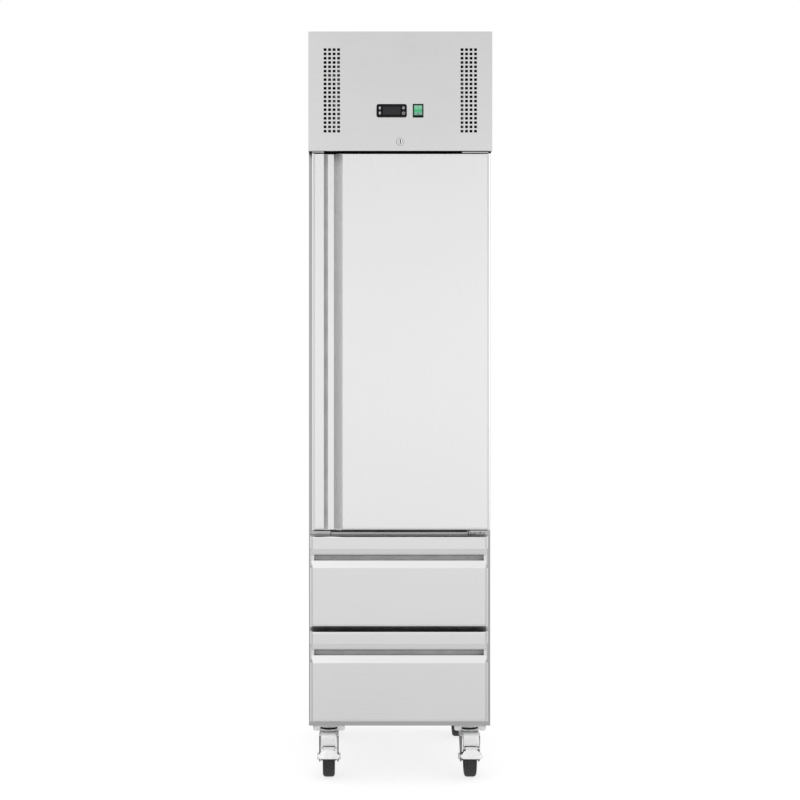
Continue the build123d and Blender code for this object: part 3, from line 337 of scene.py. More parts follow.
def rubber(name, colour, roughness=0.7):
    """Rubber with a dull, slightly dusty skin."""
    shader = Shader(name, colour, roughness=roughness)
    grit = shader.noise(700)
    shader.colour(shader.noise(40, detail=4, roughness=0.6), colour, 0.85, 1.35, 0.35)
    shader.rough(grit, roughness - 0.08, roughness + 0.12)
    shader.bump(grit, 0.4, 0.00015)


def foam_face(name, colour):
    """Rigid foam, with small cells."""
    shader = Shader(name, colour, roughness=0.9)
    cells = shader.noise(600)
    shader.colour(cells, colour, 0.8, 1)
    shader.bump(cells, 0.6, 0.0004)


def print_ink(name, colour):
    """Printed mark, slightly uneven."""
    shader = Shader(name, colour)
    uneven = shader.noise(900, detail=2)
    shader.colour(uneven, colour, 0.88, 1)
    shader.rough(uneven, 0.42, 0.6, 0, 1)


def lens_plastic(name):
    """Smoked display window with a faint sheen."""
    shader = Shader(name, (0.022, 0.022, 0.026), roughness=0.12)
    haze = shader.noise(300)
    shader.set("Base Color", shader.ramp(haze, [(0.3, (0.018, 0.018, 0.022)), (0.7, (0.03, 0.03, 0.036))]))
    shader.rough(haze, 0.08, 0.2, 0, 1)
    shader.set("Specular IOR Level", 0.3)


# The stainless parts below are one steel, given different levels as painted light and shade: the door
# lightest; the drawers, header, cover and body, mullions and hinge plates darker in turn.
side_steel = (0.74, 0.74, 0.74)

brushed_steel("front_upright", (0.96, 0.96, 0.96), "z")
brushed_steel("front_level", (0.89, 0.89, 0.89), "x")
brushed_steel("header", (0.85, 0.85, 0.85), "x", inside=inside_header)
brushed_steel("cover", side_steel, "z", inside=inside_header)
brushed_steel("casing", side_steel, "z", inside=above_deck, crevice_shade=False, level=front_edge_painted_shade)
brushed_steel("trim", (0.62, 0.62, 0.62), "x", crevice_shade=False)
brushed_steel("mullion", (0.70, 0.70, 0.70), "x", crevice_shade=False)
brushed_steel("liner", (0.76, 0.765, 0.765), "z")
polished_metal("rack_wire", (0.74, 0.75, 0.76), roughness=0.18)
zinc_plate("zinc", (0.96, 0.963, 0.967), metallic=0.5)
# Painted shade: the fork legs' zinc, the castor's plating made dark.
zinc_plate("leg_zinc", (0.17, 0.17, 0.175))
# Painted reflection: the lock's chrome is a white, nearly non-metallic surface that reads as a bright
# reflection.
zinc_plate("chrome", (1, 1, 1), roughness=0.24, metallic=0.05)
moulded_plastic("grey_plastic", (0.16, 0.165, 0.17), roughness=0.45)
moulded_plastic("black_plastic", (0.009, 0.009, 0.009), roughness=0.4, gloss=0.12)
moulded_plastic("key_plastic", (0.016, 0.016, 0.017), gloss=0.2)
moulded_plastic("hub_plastic", (0.035, 0.035, 0.036), texture=900)
switch_plastic("green_plastic")
lens_plastic("smoked_lens")
print_ink("ink", (0.62, 0.66, 0.70))
print_ink("dark_ink", (0.05, 0.12, 0.07))
rubber("seal", (0.24, 0.245, 0.25), roughness=0.55)
# Dark rubber for the strips, seams and rings that paint shade in gaps and round parts.
rubber("black_seal", (0.008, 0.008, 0.008))
rubber("dark_shade_rubber", (0.20, 0.20, 0.204))
# Grey sheets that paint the shade deep in the grip channels.
moulded_plastic("grip_shade_sheet", (0.60, 0.60, 0.605), roughness=0.6, gloss=0.2)
moulded_plastic("slot_shade_sheet", (0.75, 0.75, 0.755), roughness=0.6, gloss=0.2)
rubber("wheel", (0.026, 0.026, 0.028), roughness=0.55)
foam_face("foam", (0.82, 0.74, 0.50))
gloss_paint("black_paint", (0.02, 0.02, 0.022))
gloss_paint("motor_paint", (0.12, 0.125, 0.13), roughness=0.4)
polished_metal("fins", (0.78, 0.79, 0.80), roughness=0.35)
polished_metal("copper", (0.42, 0.20, 0.12), roughness=0.3)
moulded_plastic("nylon", (0.75, 0.75, 0.72), roughness=0.4)
moulded_plastic("fan_plastic", (0.04, 0.04, 0.045))

# The material of each CAD node, by its name or by what its name ends with.
node_materials = {
    "outer_casing": "casing", "mullions": "mullion", "hinge_plates": "trim", "machine_cover": "cover",
    "header_fascia": "header", "inner_liner": "liner", "evaporator_cover": "liner",
    "shelf_pilasters": "liner", "wire_shelves": "rack_wire", "foam_insulation": "foam",
    "breaker_frame": "grey_plastic", "panel_screws": "zinc", "power_inlet": "black_plastic",
    "compressor": "black_paint", "_coil": "fins", "fan_motors": "motor_paint",
    "refrigerant_pipes": "copper", "controller_body": "black_plastic", "switch_bezel": "black_plastic",
    "lock_housing": "chrome", "lock_barrel": "chrome", "slide_rails": "zinc", "castor_plates": "zinc",
    "rocker": "green_plastic", "_fan_blade": "fan_plastic", "_outer_skin": "front_upright",
    "_front_skin": "front_level", "_foam_core": "foam", "_inner_panel": "liner", "_gasket": "seal",
    "_hinge_bushes": "nylon", "_box": "liner", "_runners": "zinc", "_slide_middles": "zinc",
    "_key": "key_plastic", "_wheel": "wheel", "_fork": "zinc", "_pedal": "zinc",
}
drawers = ("upper_drawer", "lower_drawer")
castors = ("front_left", "front_right", "rear_left", "rear_right")


def dress_nodes():
    """Gives every CAD node its material."""
    for node, thing in nodes.items():
        material = next(material for ending, material in node_materials.items() if node.endswith(ending))
        thing.data.materials.clear()
        thing.data.materials.append(materials[material])


# Shapes

def grid_faces(rows, wide, close_rows=False, close_row=True):
    """Faces of a grid of points, row by row, which may close on itself from row to row and along each row."""
    faces = []
    for i in range(rows if close_rows else rows - 1):
        j = (i + 1) % rows
        for k in range(wide if close_row else wide - 1):
            m = (k + 1) % wide
            faces.append((i * wide + k, i * wide + m, j * wide + m, j * wide + k))
    return faces


class Shape:
    """Faces of one piece while it is being made, in millimetres."""

    def __init__(self):
        self.points = []
        self.faces = []

    def add(self, points, faces):
        start = len(self.points)
        self.points += [tuple(point) for point in points]
        self.faces += [[start + i for i in face] for face in faces]

    def box(self, low, high):
        corners = [(x, y, z) for x in (low[0], high[0]) for y in (low[1], high[1]) for z in (low[2], high[2])]
        faces = [(0, 1, 3, 2), (4, 6, 7, 5), (0, 4, 5, 1), (2, 3, 7, 6), (0, 2, 6, 4), (1, 5, 7, 3)]
        self.add(corners, faces)

    def prism(self, outline, axis, low, high):
        """An outline in the other two axes, in their own order, drawn out along one axis."""
        place = {
            "x": lambda along, u, v: (along, u, v),
            "y": lambda along, u, v: (u, along, v),
            "z": lambda along, u, v: (u, v, along),
        }[axis]
        n = len(outline)
        points = [place(along, u, v) for along in (low, high) for u, v in outline]
        self.add(points, [tuple(range(n)), tuple(range(2 * n - 1, n - 1, -1))] + grid_faces(2, n))

    def lathe(self, profile, centre, axis, steps=32, ring=False):
        """A profile of (radius, distance along the axis) turned round an axis through a centre.

        ring joins its last point to its first, for a shape with a hole through it.
        """
        a = "xyz".index(axis)
        b, c = (a + 1) % 3, (a + 2) % 3
        points = []
        for radius, along in profile:
            for k in range(steps):
                angle = 2 * math.pi * k / steps
                point = list(centre)
                point[a] += along
                point[b] += radius * math.cos(angle)
                point[c] += radius * math.sin(angle)
                points.append(point)
        self.add(points, grid_faces(len(profile), steps, close_rows=ring))

    def border(self, left, right, bottom, top, profile):
        """A closed profile of (inset from the edge, y) carried round a rectangle with mitred corners."""
        points = []
        for inset, y in profile:
            points += [(left + inset, y, bottom + inset), (right - inset, y, bottom + inset),
                       (right - inset, y, top - inset), (left + inset, y, top - inset)]
        self.add(points, grid_faces(len(profile), 4, close_rows=True))

    def sheet(self, rows):
        """A grid of points, row by row, as one open sheet."""
        points = [point for row in rows for point in row]
        self.add(points, grid_faces(len(rows), len(rows[0]), close_row=False))

    def screw(self, seat, axis, out, radius, height):
        """A pan head with a cross recess. out is 1 or -1, the side of the seat that the head stands on."""
        a = "xyz".index(axis)
        b, c = (a + 1) % 3, (a + 2) % 3
        arm_long = radius * 0.55
        arm_half = radius * 0.15
        cross = []
        for turn in range(4):
            u = math.cos(math.pi / 2 * turn)
            v = math.sin(math.pi / 2 * turn)
            for along, across in ((arm_long, -arm_half), (arm_long, arm_half), (arm_half, arm_half)):
                cross.append((u * along - v * across, v * along + u * across))
        angles = [math.atan2(v, u) for u, v in cross]
        disc = [(math.cos(t) * radius, math.sin(t) * radius) for t in angles]
        rings = [(disc, 1, 0), (disc, 1, 0.45), (disc, 0.9, 0.8), (disc, 0.68, 1),
                 (cross, 1, 1), (cross, 0.7, 0.4)]
        points = []
        for ring, share, level in rings:
            for u, v in ring:
                point = list(seat)
                point[a] += out * height * level
                point[b] += u * share
                point[c] += v * share
                points.append(point)
        n = len(cross)
        ends = [tuple(range(n)), tuple(range((len(rings) - 1) * n, len(rings) * n))]
        self.add(points, grid_faces(len(rings), n) + ends)


def arc(u, v, radius, start, end, steps):
    """Points on an arc, with its angles in degrees."""
    angles = [math.radians(start + (end - start) * k / steps) for k in range(steps + 1)]
    return [(u + radius * math.cos(t), v + radius * math.sin(t)) for t in angles]


def rounded(left, right, bottom, top, radius):
    """Outline of a rectangle with rounded corners."""
    steps = 4
    return (arc(right - radius, bottom + radius, radius, -90, 0, steps)
            + arc(right - radius, top - radius, radius, 0, 90, steps)
            + arc(left + radius, top - radius, radius, 90, 180, steps)
            + arc(left + radius, bottom + radius, radius, 180, 270, steps))


def mirrored(profile):
    """The other half of a profile that is the same on both sides of its middle."""
    return [(radius, -along) for radius, along in reversed(profile)]


def finish_piece(thing, body, material, replaces):
    """Puts a piece in the scene, on its body, with its material."""
    thing.data.materials.append(materials[material])
    bpy.context.scene.collection.objects.link(thing)
    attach(thing, body)
    if replaces:
        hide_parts(replaces)
    return thing


def soften(thing, width, angle=35):
    """Rounds a piece's sharp edges with a bevel."""
    bevel = thing.modifiers.new("bevel", "BEVEL")
    bevel.width = width * MM
    bevel.segments = 2
    bevel.limit_method = "ANGLE"
    bevel.angle_limit = math.radians(angle)
    bevel.harden_normals = True


def make_piece(name, shape, body="cabinet", material="zinc", slot="zinc_steel", bevel=0, sharp=35, thick=0,
               rounds=0, replaces=None):
    """A mesh piece from a shape. thick gives an open sheet its gauge, and rounds subdivides it."""
    mesh = bpy.data.meshes.new(name)
    work = bmesh.new()
    points = [work.verts.new([v * MM for v in point]) for point in shape.points]
    for face in shape.faces:
        work.faces.new([points[i] for i in face])
    bmesh.ops.remove_doubles(work, verts=work.verts, dist=0.002 * MM)
    bmesh.ops.dissolve_degenerate(work, edges=work.edges, dist=0.001 * MM)
    bmesh.ops.recalc_face_normals(work, faces=work.faces)
    work.to_mesh(mesh)
    work.free()
    mesh.polygons.foreach_set("use_smooth", [True] * len(mesh.polygons))
    if not rounds:
        mesh.set_sharp_from_angle(angle=math.radians(sharp))
    thing = bpy.data.objects.new(name, mesh)
    if rounds:
        thing.modifiers.new("rounds", "SUBSURF").levels = rounds
        thing.modifiers["rounds"].render_levels = rounds
    if thick:
        gauge = thing.modifiers.new("gauge", "SOLIDIFY")
        gauge.thickness = thick * MM
        gauge.offset = 0
    if bevel:
        soften(thing, bevel)
    return finish_piece(thing, body, material, replaces)


def rounded_path(points, radius, closed=False):
    """A run of straight lines with an arc of a radius at each corner."""
    steps = 5
    points = [Vector(p) for p in points]
    n = len(points)
    path = []
    for i, corner in enumerate(points):
        if not closed and i in (0, n - 1):
            path.append(corner)
            continue
        back = (points[i - 1] - corner).normalized()
        ahead = (points[(i + 1) % n] - corner).normalized()
        half = back.angle(ahead) / 2
        reach = radius / math.tan(half)
        start = corner + back * reach
        end = corner + ahead * reach
        centre = corner + (back + ahead).normalized() * (radius / math.sin(half))
        sweep = math.pi - 2 * half
        for k in range(steps + 1):
            t = k / steps
            a = math.sin((1 - t) * sweep) / math.sin(sweep)
            b = math.sin(t * sweep) / math.sin(sweep)
            path.append(centre + (start - centre) * a + (end - centre) * b)
    return path


def make_wires(name, paths, radius, body, material, closed=False, replaces=None):
    """Round wires along paths of points, in millimetres."""
    curve = bpy.data.curves.new(name, "CURVE")
    curve.dimensions = "3D"
    curve.bevel_depth = radius * MM
    curve.bevel_resolution = 3
    curve.use_fill_caps = True
    for path in paths:
        spline = curve.splines.new("POLY")
        spline.points.add(len(path) - 1)
        for point, place in zip(spline.points, path):
            point.co = (*(v * MM for v in place), 1)
        spline.use_cyclic_u = closed
        spline.use_smooth = True
    return finish_piece(bpy.data.objects.new(name, curve), body, material, replaces)


# Castors

castor_x = 175.5
castor_y = 235
castor_trail = 35
wheel_r = 50
plate_bottom = 127
plate_top = 130
crown_bottom = 104
crown_top = 108
pedal_y = -90
pedal_z = 82


def castor_piece(corner, ending, shape, part, *finish, **shaping):
    """A piece that stands for one part of a castor: plates, fork, brake_pedal or wheel."""
    body = "cabinet" if part == "plates" else f"{corner}_{part.removeprefix('brake_')}"
    node = "castor_plates" if part == "plates" else f"{corner}_{part}"
    return make_piece(f"{corner}_castor_{ending}", shape, body, *finish, replaces=node, **shaping)


def make_castor_top(name, x, y):
    """Plate with folded front lips, hexagon bolts and a stepped swivel race."""
    lip_front = -47.5
    lip_back = -44.5
    shape = Shape()
    plate = [(x + u, y + v) for u, v in rounded(-39.5, 39.5, -47.5, 47.5, 6)]
    shape.prism(plate, "z", plate_bottom, plate_top)
    for side in (-1, 1):
        low, high = sorted((side * 21, side * 39.5))
        tab = (arc(high - 6, 122, 6, -90, 0, 5) + [(high, plate_bottom), (low, plate_bottom)]
               + arc(low + 6, 122, 6, 180, 270, 5))
        shape.prism([(x + u, v) for u, v in tab], "y", y + lip_front, y + lip_back)
        for v in (-37, 37):
            bolt = (x + side * 30, y + v, plate_bottom)
            shape.lathe([(0, -1), (10, -1), (10, 0), (0, 0)], bolt, "z", 24)
            shape.lathe([(0, -5), (6.2, -5), (7, -4.2), (7, -1), (0, -1)], bolt, "z", 6)
    race = [(0, 117), (20, 117), (22.5, 117.6), (22.5, 119), (26, 119.6), (27, 120.8),
            (27, 123.6), (25.8, 124.6), (24, 125), (24, plate_bottom), (0, plate_bottom)]
    shape.lathe(race, (x, y, 0), "z", 48)
    castor_piece(name, "plate", shape, "plates", bevel=0.5)


def make_race_shade_rings(name, x, y):
    """Black rings above and below the swivel race, which paint the shade in its gaps."""
    for ending, part, section in (
            ("upper", "plates", [(24.4, 125.2), (26.6, 125.2), (26.6, 126.8), (24.4, 126.8)]),
            ("lower", "fork", [(18.6, 114.6), (23.4, 114), (23.8, 115.4), (18.6, 116.7)])):
        shape = Shape()
        shape.lathe(section, (x, y, 0), "z", 48, ring=True)
        castor_piece(name, f"{ending}_seal", shape, part, "black_seal", "wheel_rubber")


def leg_outline():
    """Side view of a fork leg, from the castor's middle, as (y, z)."""
    front = [(-59, 105), (-59, 96), (-58.2, 88), (-55.6, 77), (-52, 64)]
    foot = arc(-castor_trail, wheel_r, 13.5, 165, 345, 12)
    back = [(-19, 56), (-13.5, 66), (-4, 77.5), (7, 85.5), (18, 90), (22, 93), (22, 105)]
    return front + foot + back


def make_fork(name, x, y, braked):
    """Crown with a raised ring, two curved legs and the axle bolt. A braked one has a hood in front."""
    leg_in = 21
    leg_out = 24
    axle = (x, y - castor_trail, wheel_r)
    shape = Shape()
    shape.prism([(x + u, y + v) for u, v in rounded(-leg_out, leg_out, -59, 24, 5)],
                "z", crown_bottom, crown_top)
    ring = [(0, crown_top), (24, crown_top), (25, 109), (25, 112.4), (24, 113.6), (21, 114.2),
            (19, 115.2), (19, 116.5), (8, 116.5), (8, 116.9), (0, 116.9)]
    shape.lathe(ring, (x, y, 0), "z", 48)
    legs = Shape()
    for side in (-1, 1):
        low, high = sorted((x + side * leg_in, x + side * leg_out))
        legs.prism([(y + u, v) for u, v in leg_outline()], "x", low, high)
        washer = sorted((side * leg_out, side * (leg_out + 1.2)))
        shape.lathe([(0, washer[0]), (9.5, washer[0]), (9.5, washer[1]), (0, washer[1])], axle, "x", 32)
        shape.lathe([(0, side * 25.2), (8.5, side * 25.2), (8.5, side * 28.3), (7.6, side * 29),
                     (0, side * 29)], axle, "x", 6)
    shape.lathe([(0, -leg_out), (5.9, -leg_out), (5.9, leg_out), (0, leg_out)], axle, "x", 24)
    castor_piece(name, "fork", shape, "fork", bevel=0.6)
    # The legs take the dark zinc of painted shade.
    castor_piece(name, "legs", legs, "fork", "leg_zinc", bevel=0.6)
    if braked:
        make_hood(name, x, y)


def make_hood(name, x, y):
    """Pressed housing over the front of the wheel, which carries the pedal's pivot."""
    half = 19
    stations = [(-55, 108.6, 101), (-60, 109.6, 99.5), (-65, 112.6, 98), (-69, 116, 97),
                (-74, 117.8, 95), (-79.5, 117.6, 92.5), (-84, 115.2, 88.5), (-87.4, 110.4, 84),
                (-90.2, 104.4, 79.5), (-92.6, 96.6, 77), (-94.4, 88.2, 78.5)]
    rows = []
    for along, top, low in stations:
        round_r = min(5, (top - low) * 0.45)
        side = [(-half, low), (-half, (low + top - round_r) / 2), (-half, top - round_r)]
        shoulder = arc(-half + round_r, top - round_r, round_r, 180, 90, 4)[1:]
        left = side + shoulder
        rows.append([(x + u, y + along, v) for u, v in left + [(-u, v) for u, v in reversed(left)]])
    shape = Shape()
    shape.sheet(rows)
    castor_piece(name, "hood", shape, "fork", sharp=60, thick=1.6)


def make_pedal(name, x, y):
    """Brake pedal that flares below its pivot, with a rolled toe and two pressed ribs."""
    levels = [(79.5, 14.2), (77.2, 14.4), (75.4, 15), (74.4, 19.4), (72.2, 20.2), (69.8, 21.4), (67.6, 24.2),
              (65.6, 27.6), (63.8, 28.7), (62, 28), (60.2, 25.8), (58.6, 23.6)]
    columns = 12
    rows = []
    for z, reach in levels:
        fall = (pedal_z - z) / 24.5
        row = []
        for k in range(columns + 1):
            u = 2 * k / columns - 1
            crown = -1.6 * (1 - u * u)
            rib = -0.9 if k in (4, 8) and 60 < z < 73 else 0
            row.append((x + u * reach, y + pedal_y - 13 * fall ** 1.2 + crown + rib + 1.2, z))
        rows.append(row)
    rows.append([(u, v - 1.3, 57.9) for u, v, _ in rows[-1]])
    shape = Shape()
    shape.sheet(rows)
    plate = castor_piece(name, "pedal", shape, "brake_pedal", sharp=60, thick=2, rounds=1)
    plate.modifiers.move(1, 0)
    barrel = Shape()
    pivot = (x, y + pedal_y, pedal_z)
    half = [(0, -14.4), (3.5, -14.4), (4, -13.9)]
    barrel.lathe(half + mirrored(half), pivot, "x", 24)
    barrel.lathe([(0, -18.9), (2.4, -18.9), (2.4, 18.9), (0, 18.9)], pivot, "x", 20)
    for side in (-1, 1):
        inner, middle, outer = side * 19.2, side * 19.8, side * 20.4
        barrel.lathe([(0, inner), (3.8, inner), (3.8, middle), (2.4, outer), (0, outer)], pivot, "x", 20)
    castor_piece(name, "pivot", barrel, "brake_pedal")


def make_wheel(name, x, y):
    """Rubber tyre on a ribbed plastic hub."""
    axle = (x, y - castor_trail, wheel_r)
    half = [(34, -12.6), (36, -14.4), (40, -14.9), (44.5, -14.6), (47.4, -13.2), (49.3, -10.8),
            (50, -7.5)]
    tread = half + mirrored(half)
    tyre = Shape()
    tyre.lathe(tread, axle, "x", 72, ring=True)
    castor_piece(name, "tyre", tyre, "wheel", "wheel", "wheel_rubber", sharp=40)
    hub = Shape()
    half = [(6.1, -19.6), (9.8, -19.6), (10.8, -18.6), (11.2, -11), (14, -9.6), (29, -8.8),
            (31, -10), (34.4, -12.4)]
    hub.lathe(half + mirrored(half), axle, "x", 72, ring=True)
    for side in (-1, 1):
        low, high = sorted((x + side * 7, x + side * 12))
        for spoke in range(6):
            turn = math.radians(60 * spoke)
            out = (math.cos(turn), math.sin(turn))
            across = (-out[1], out[0])
            corners = [(10.6, -1.5), (31.8, -1.1), (31.8, 1.1), (10.6, 1.5)]
            hub.prism([(axle[1] + r * out[0] + w * across[0], axle[2] + r * out[1] + w * across[1])
                       for r, w in corners], "x", low, high)
    castor_piece(name, "hub", hub, "wheel", "hub_plastic", "wheel_rubber")


def make_castors():
    for name in castors:
        braked = name.startswith("front")
        x = -castor_x if name.endswith("left") else castor_x
        y = -castor_y if braked else castor_y
        make_castor_top(name, x, y)
        make_race_shade_rings(name, x, y)
        make_fork(name, x, y, braked)
        make_wheel(name, x, y)
        if braked:
            make_pedal(name, x, y)


# Shelves and the uprights that carry them

shelf_levels = (668, 880, 1090, 1290)


def make_shelves():
    """Wire shelves: a rod frame, two cross rods under it and thinner wires on top."""
    side = 162
    front = -259
    back = 265
    wires = 25
    pitch = 2 * side / (wires + 1)
    for n, z in enumerate(shelf_levels):
        corners = [(-side, front, z), (side, front, z), (side, back, z), (-side, back, z)]
        cross = [[(-side, front + (back - front) * t / 3, z), (side, front + (back - front) * t / 3, z)]
                 for t in (1, 2)]
        runs = [[(-side + pitch * k, front - 1, z + 1.9), (-side + pitch * k, back + 1, z + 1.9)]
                for k in range(1, wires + 1)]
        for ending, paths, radius in (("frame", [rounded_path(corners, 9, closed=True)], 3),
                                      ("cross_rods", cross, 2.9), ("wires", runs, 1.6)):
            make_wires(f"shelf_{n + 1}_{ending}", paths, radius, "cabinet", "rack_wire",
                       closed=ending == "frame", replaces="wire_shelves")


def make_pilasters():
    """Folded uprights with a ladder of slots, and a clip under each shelf end."""
    low_z = 655
    high_z = 1385
    pitch = 25
    slot = 4.5
    section = [(180, -9.6), (174.6, -9.6), (174.6, -6), (174.6, 6), (174.6, 9.6), (180, 9.6)]
    middle = 2
    slots = int((high_z - low_z) / pitch)
    heights = [low_z]
    for n in range(slots):
        start = low_z + pitch * n + 12
        heights += [start, start + slot]
    heights.append(high_z)
    for x_side, x_name in ((-1, "left"), (1, "right")):
        for y, y_name in ((-225, "front"), (225, "rear")):
            shape = Shape()
            wide = len(section)
            points = [(x_side * u, y + v, z) for z in heights for u, v in section]
            faces = grid_faces(len(heights), wide, close_row=False)
            open_faces = range(wide - 1 + middle, len(faces), 2 * (wide - 1))
            shape.add(points, [face for n, face in enumerate(faces) if n not in open_faces])
            make_piece(f"{y_name}_{x_name}_upright", shape, "cabinet", "liner", "stainless_liner", thick=1,
                       replaces="shelf_pilasters")
            clips = Shape()
            for level in shelf_levels:
                top = level - 3
                outline = [(174, top), (159.4, top), (159.4, top - 1.5), (167, top - 1.7),
                           (170.5, top - 3.2), (172.4, top - 6.5), (174, top - 6.5)]
                clips.prism([(x_side * u, v) for u, v in outline], "y", y - 7.6, y + 7.6)
            make_piece(f"{y_name}_{x_name}_clips", clips, "cabinet", "rack_wire", "stainless_wire", bevel=0.4,
                       replaces="shelf_pilasters")


# Seals

def make_seal(body):
    """Bellows seal round the back of a front, mitred at its corners."""
    node = f"{body}_gasket"
    low, high = node_box(node)
    depth = high[1] - low[1]
    wide = 16
    folds = [(0, 0.17), (2.4, 0.25), (0.6, 0.42), (2.8, 0.58), (1.2, 0.78), (2.4, 0.96), (3.6, 1)]
    section = [(0, 0), (wide, 0)] + [(wide - u, v) for u, v in folds] + list(reversed(folds))
    profile = [(inset, low[1] + share * depth) for inset, share in section]
    shape = Shape()
    shape.border(low[0], high[0], low[2], high[2], profile)
    make_piece(f"{body}_bellows_seal", shape, body, "seal", "seal_rubber", sharp=50, replaces=node)


# Dark strips and seams that paint the shade in the gaps between the fronts

def make_strip(name, material, bottom, ends, profile):
    """A dark strip on the body behind a gap, which paints the gap's shade. Its profile is (distance from the
    mullions' face, height).
    """
    face = node_box("mullions")[0][1]
    shape = Shape()
    shape.prism([(face + out, bottom + up) for out, up in profile], "x", *ends)
    make_piece(f"strip_{name}", shape, "cabinet", material, "seal_rubber", bevel=0.3)


def make_seam_shades():
    """Dark lines that paint the shade round the plates at the door's foot."""
    face = node_box("mullions")[0][1]
    left, right = -171.2, 169.4
    shape = Shape()
    for x in (left, right):
        shape.box((x, face - 3.6, 604), (x + 1.4, face, 618.6))
    shape.box((-214, face - 4.2, 613.2), (left, face - 3, 615.6))
    make_piece("hinge_plate_seam_shades", shape, "cabinet", "black_seal", "seal_rubber", bevel=0.2)


def make_trims():
    make_strip("over_door", "black_seal", 1543.8, (-186, 151), [
        (0, 0), (-2.4, 0), (-3.4, 1), (-3.4, 5), (-2.6, 6), (-2.6, 25), (-3.4, 26), (-3.4, 29),
        (-2.4, 30), (0, 30)])
    make_strip("under_door", "dark_shade_rubber", 609.8, (-170, 168), [
        (0, 0), (-1.6, 0), (-2.6, 1.4), (-1.8, 3), (-2.8, 4.6), (-2.8, 7.6), (-1.6, 9), (0, 9)])
    make_seam_shades()
    make_strip("between_drawers", "dark_shade_rubber", 367, (-218, 214), [
        (0, 0), (-1.4, 0), (-2.4, 2), (-2.4, 9), (-1.6, 10.4), (-2.4, 11.8), (-2.4, 20), (-1.4, 22),
        (0, 22)])


def make_grip_shade_sheets():
    """Thin grey sheets deep in the door's and the drawers' grip channels, which paint the shade there."""
    floor_y = -323
    thick = 0.35
    left, right = -196.6, -177.4
    low, high = node_box("door_outer_skin")
    band = Shape()
    band.box((left, floor_y - thick, low[2] + 1), (right, floor_y, high[2] - 1))
    make_piece("door_grip_shade_sheet", band, "door", "grip_shade_sheet", "grey_plastic")
    slot_y = -320
    thick = 0.3
    end, lower_edge, upper_edge = 13, 58.6, 23
    for drawer in drawers:
        low, high = node_box(f"{drawer}_front_skin")
        band = Shape()
        band.box((low[0] + end, slot_y - thick, high[2] - lower_edge),
                 (high[0] - end, slot_y, high[2] - upper_edge))
        make_piece(f"{drawer}_grip_shade_sheet", band, drawer, "slot_shade_sheet", "grey_plastic")


# Refrigeration

def make_coil(name, fins, rows):
    """Finned coil with thin fins, folded end plates and tubes joined by return bends."""
    node = f"{name}_coil"
    low, high = node_box(node)
    bend_out = 10
    left = low[0] + bend_out
    right = high[0] - bend_out
    plate = 1.2
    fin = 0.35
    margin = 5
    tube_r = 4.2
    packet = Shape()
    pitch = (right - left - 2 * plate) / (fins + 1)
    for n in range(fins):
        x = left + plate + pitch * (n + 1)
        packet.box((x - fin / 2, low[1] + margin, low[2] + margin),
                   (x + fin / 2, high[1] - margin, high[2] - margin))
    make_piece(f"{name}_fins", packet, "cabinet", "fins", "fin_aluminium", replaces=node)
    plates = Shape()
    flange = 8
    for x, inward in ((left, 1), (right, -1)):
        outline = [(x, low[1]), (x + inward * plate, low[1]), (x + inward * plate, high[1] - plate),
                   (x + inward * flange, high[1] - plate), (x + inward * flange, high[1]), (x, high[1])]
        plates.prism(outline, "z", low[2], high[2])
    make_piece(f"{name}_end_plates", plates, bevel=0.3, replaces=node)
    row_pitch = (high[2] - low[2]) / rows
    middle = (low[1] + high[1]) / 2
    reach_left = low[0] + tube_r
    reach_right = high[0] - tube_r
    bend = min(row_pitch / 2 - 1, bend_out - 1)
    runs = []
    for y in (middle - 12.5, middle + 12.5):
        points = [(left - 2, y, low[2] + row_pitch / 2)]
        for row in range(rows):
            z = low[2] + row_pitch * (row + 0.5)
            end = reach_right if row % 2 == 0 else reach_left
            if row < rows - 1:
                points += [(end, y, z), (end, y, z + row_pitch)]
            else:
                points.append((right + 2 if row % 2 == 0 else left - 2, y, z))
        runs.append(rounded_path(points, bend))
    make_wires(f"{name}_tubes", runs, tube_r, "cabinet", "fins", replaces=node)


# Machine compartment cover

def make_cover_details():
    """Screw heads and louvre hoods on the back of the machine cover."""
    back_y = node_box("machine_cover")[1][1]
    screws = Shape()
    for x in (-212, 212):
        for z in (1590, 1668, 1746, 1824):
            screws.screw((x, back_y, z), "y", 1, 4.5, 2.4)
    make_piece("cover_screws", screws, sharp=30, replaces="panel_screws")
    hood = [(0, 5.6), (1.6, 5), (2.8, 3.2), (3.3, 0.6), (3.4, -2.6)]
    for side, name in ((-1, "left"), (1, "right")):
        for row in range(8):
            z = 1726 + 18 * (row - 3.5)
            x = side * 90
            rows = []
            for reach, share in ((-67.5, 0), (-66, 0.6), (-63, 1), (63, 1), (66, 0.6), (67.5, 0)):
                rows.append([(x + reach, back_y + out * share + 0.1, z + up) for out, up in hood])
            shape = Shape()
            shape.sheet(rows)
            make_piece(f"louvre_{name}_{row + 1}", shape, "cabinet", "cover", "stainless", sharp=60,
                       thick=0.7)


def make_small_screws():
    """Screws of the low hinge and of the evaporator's cover."""
    shape = Shape()
    for x in (176.4, 186.1):
        shape.screw((x, node_box("hinge_plates")[0][1] + 49, 606.4), "y", -1, 3.4, 1.8)
    make_piece("hinge_screws", shape, sharp=30)
    low = node_box("evaporator_cover")[0]
    shape = Shape()
    for x in (-158, 158):
        for z in (1406, 1496):
            shape.screw((x, low[1], z), "y", -1, 4, 1.8)
    make_piece("evaporator_cover_screws", shape, sharp=30)


# Drawers

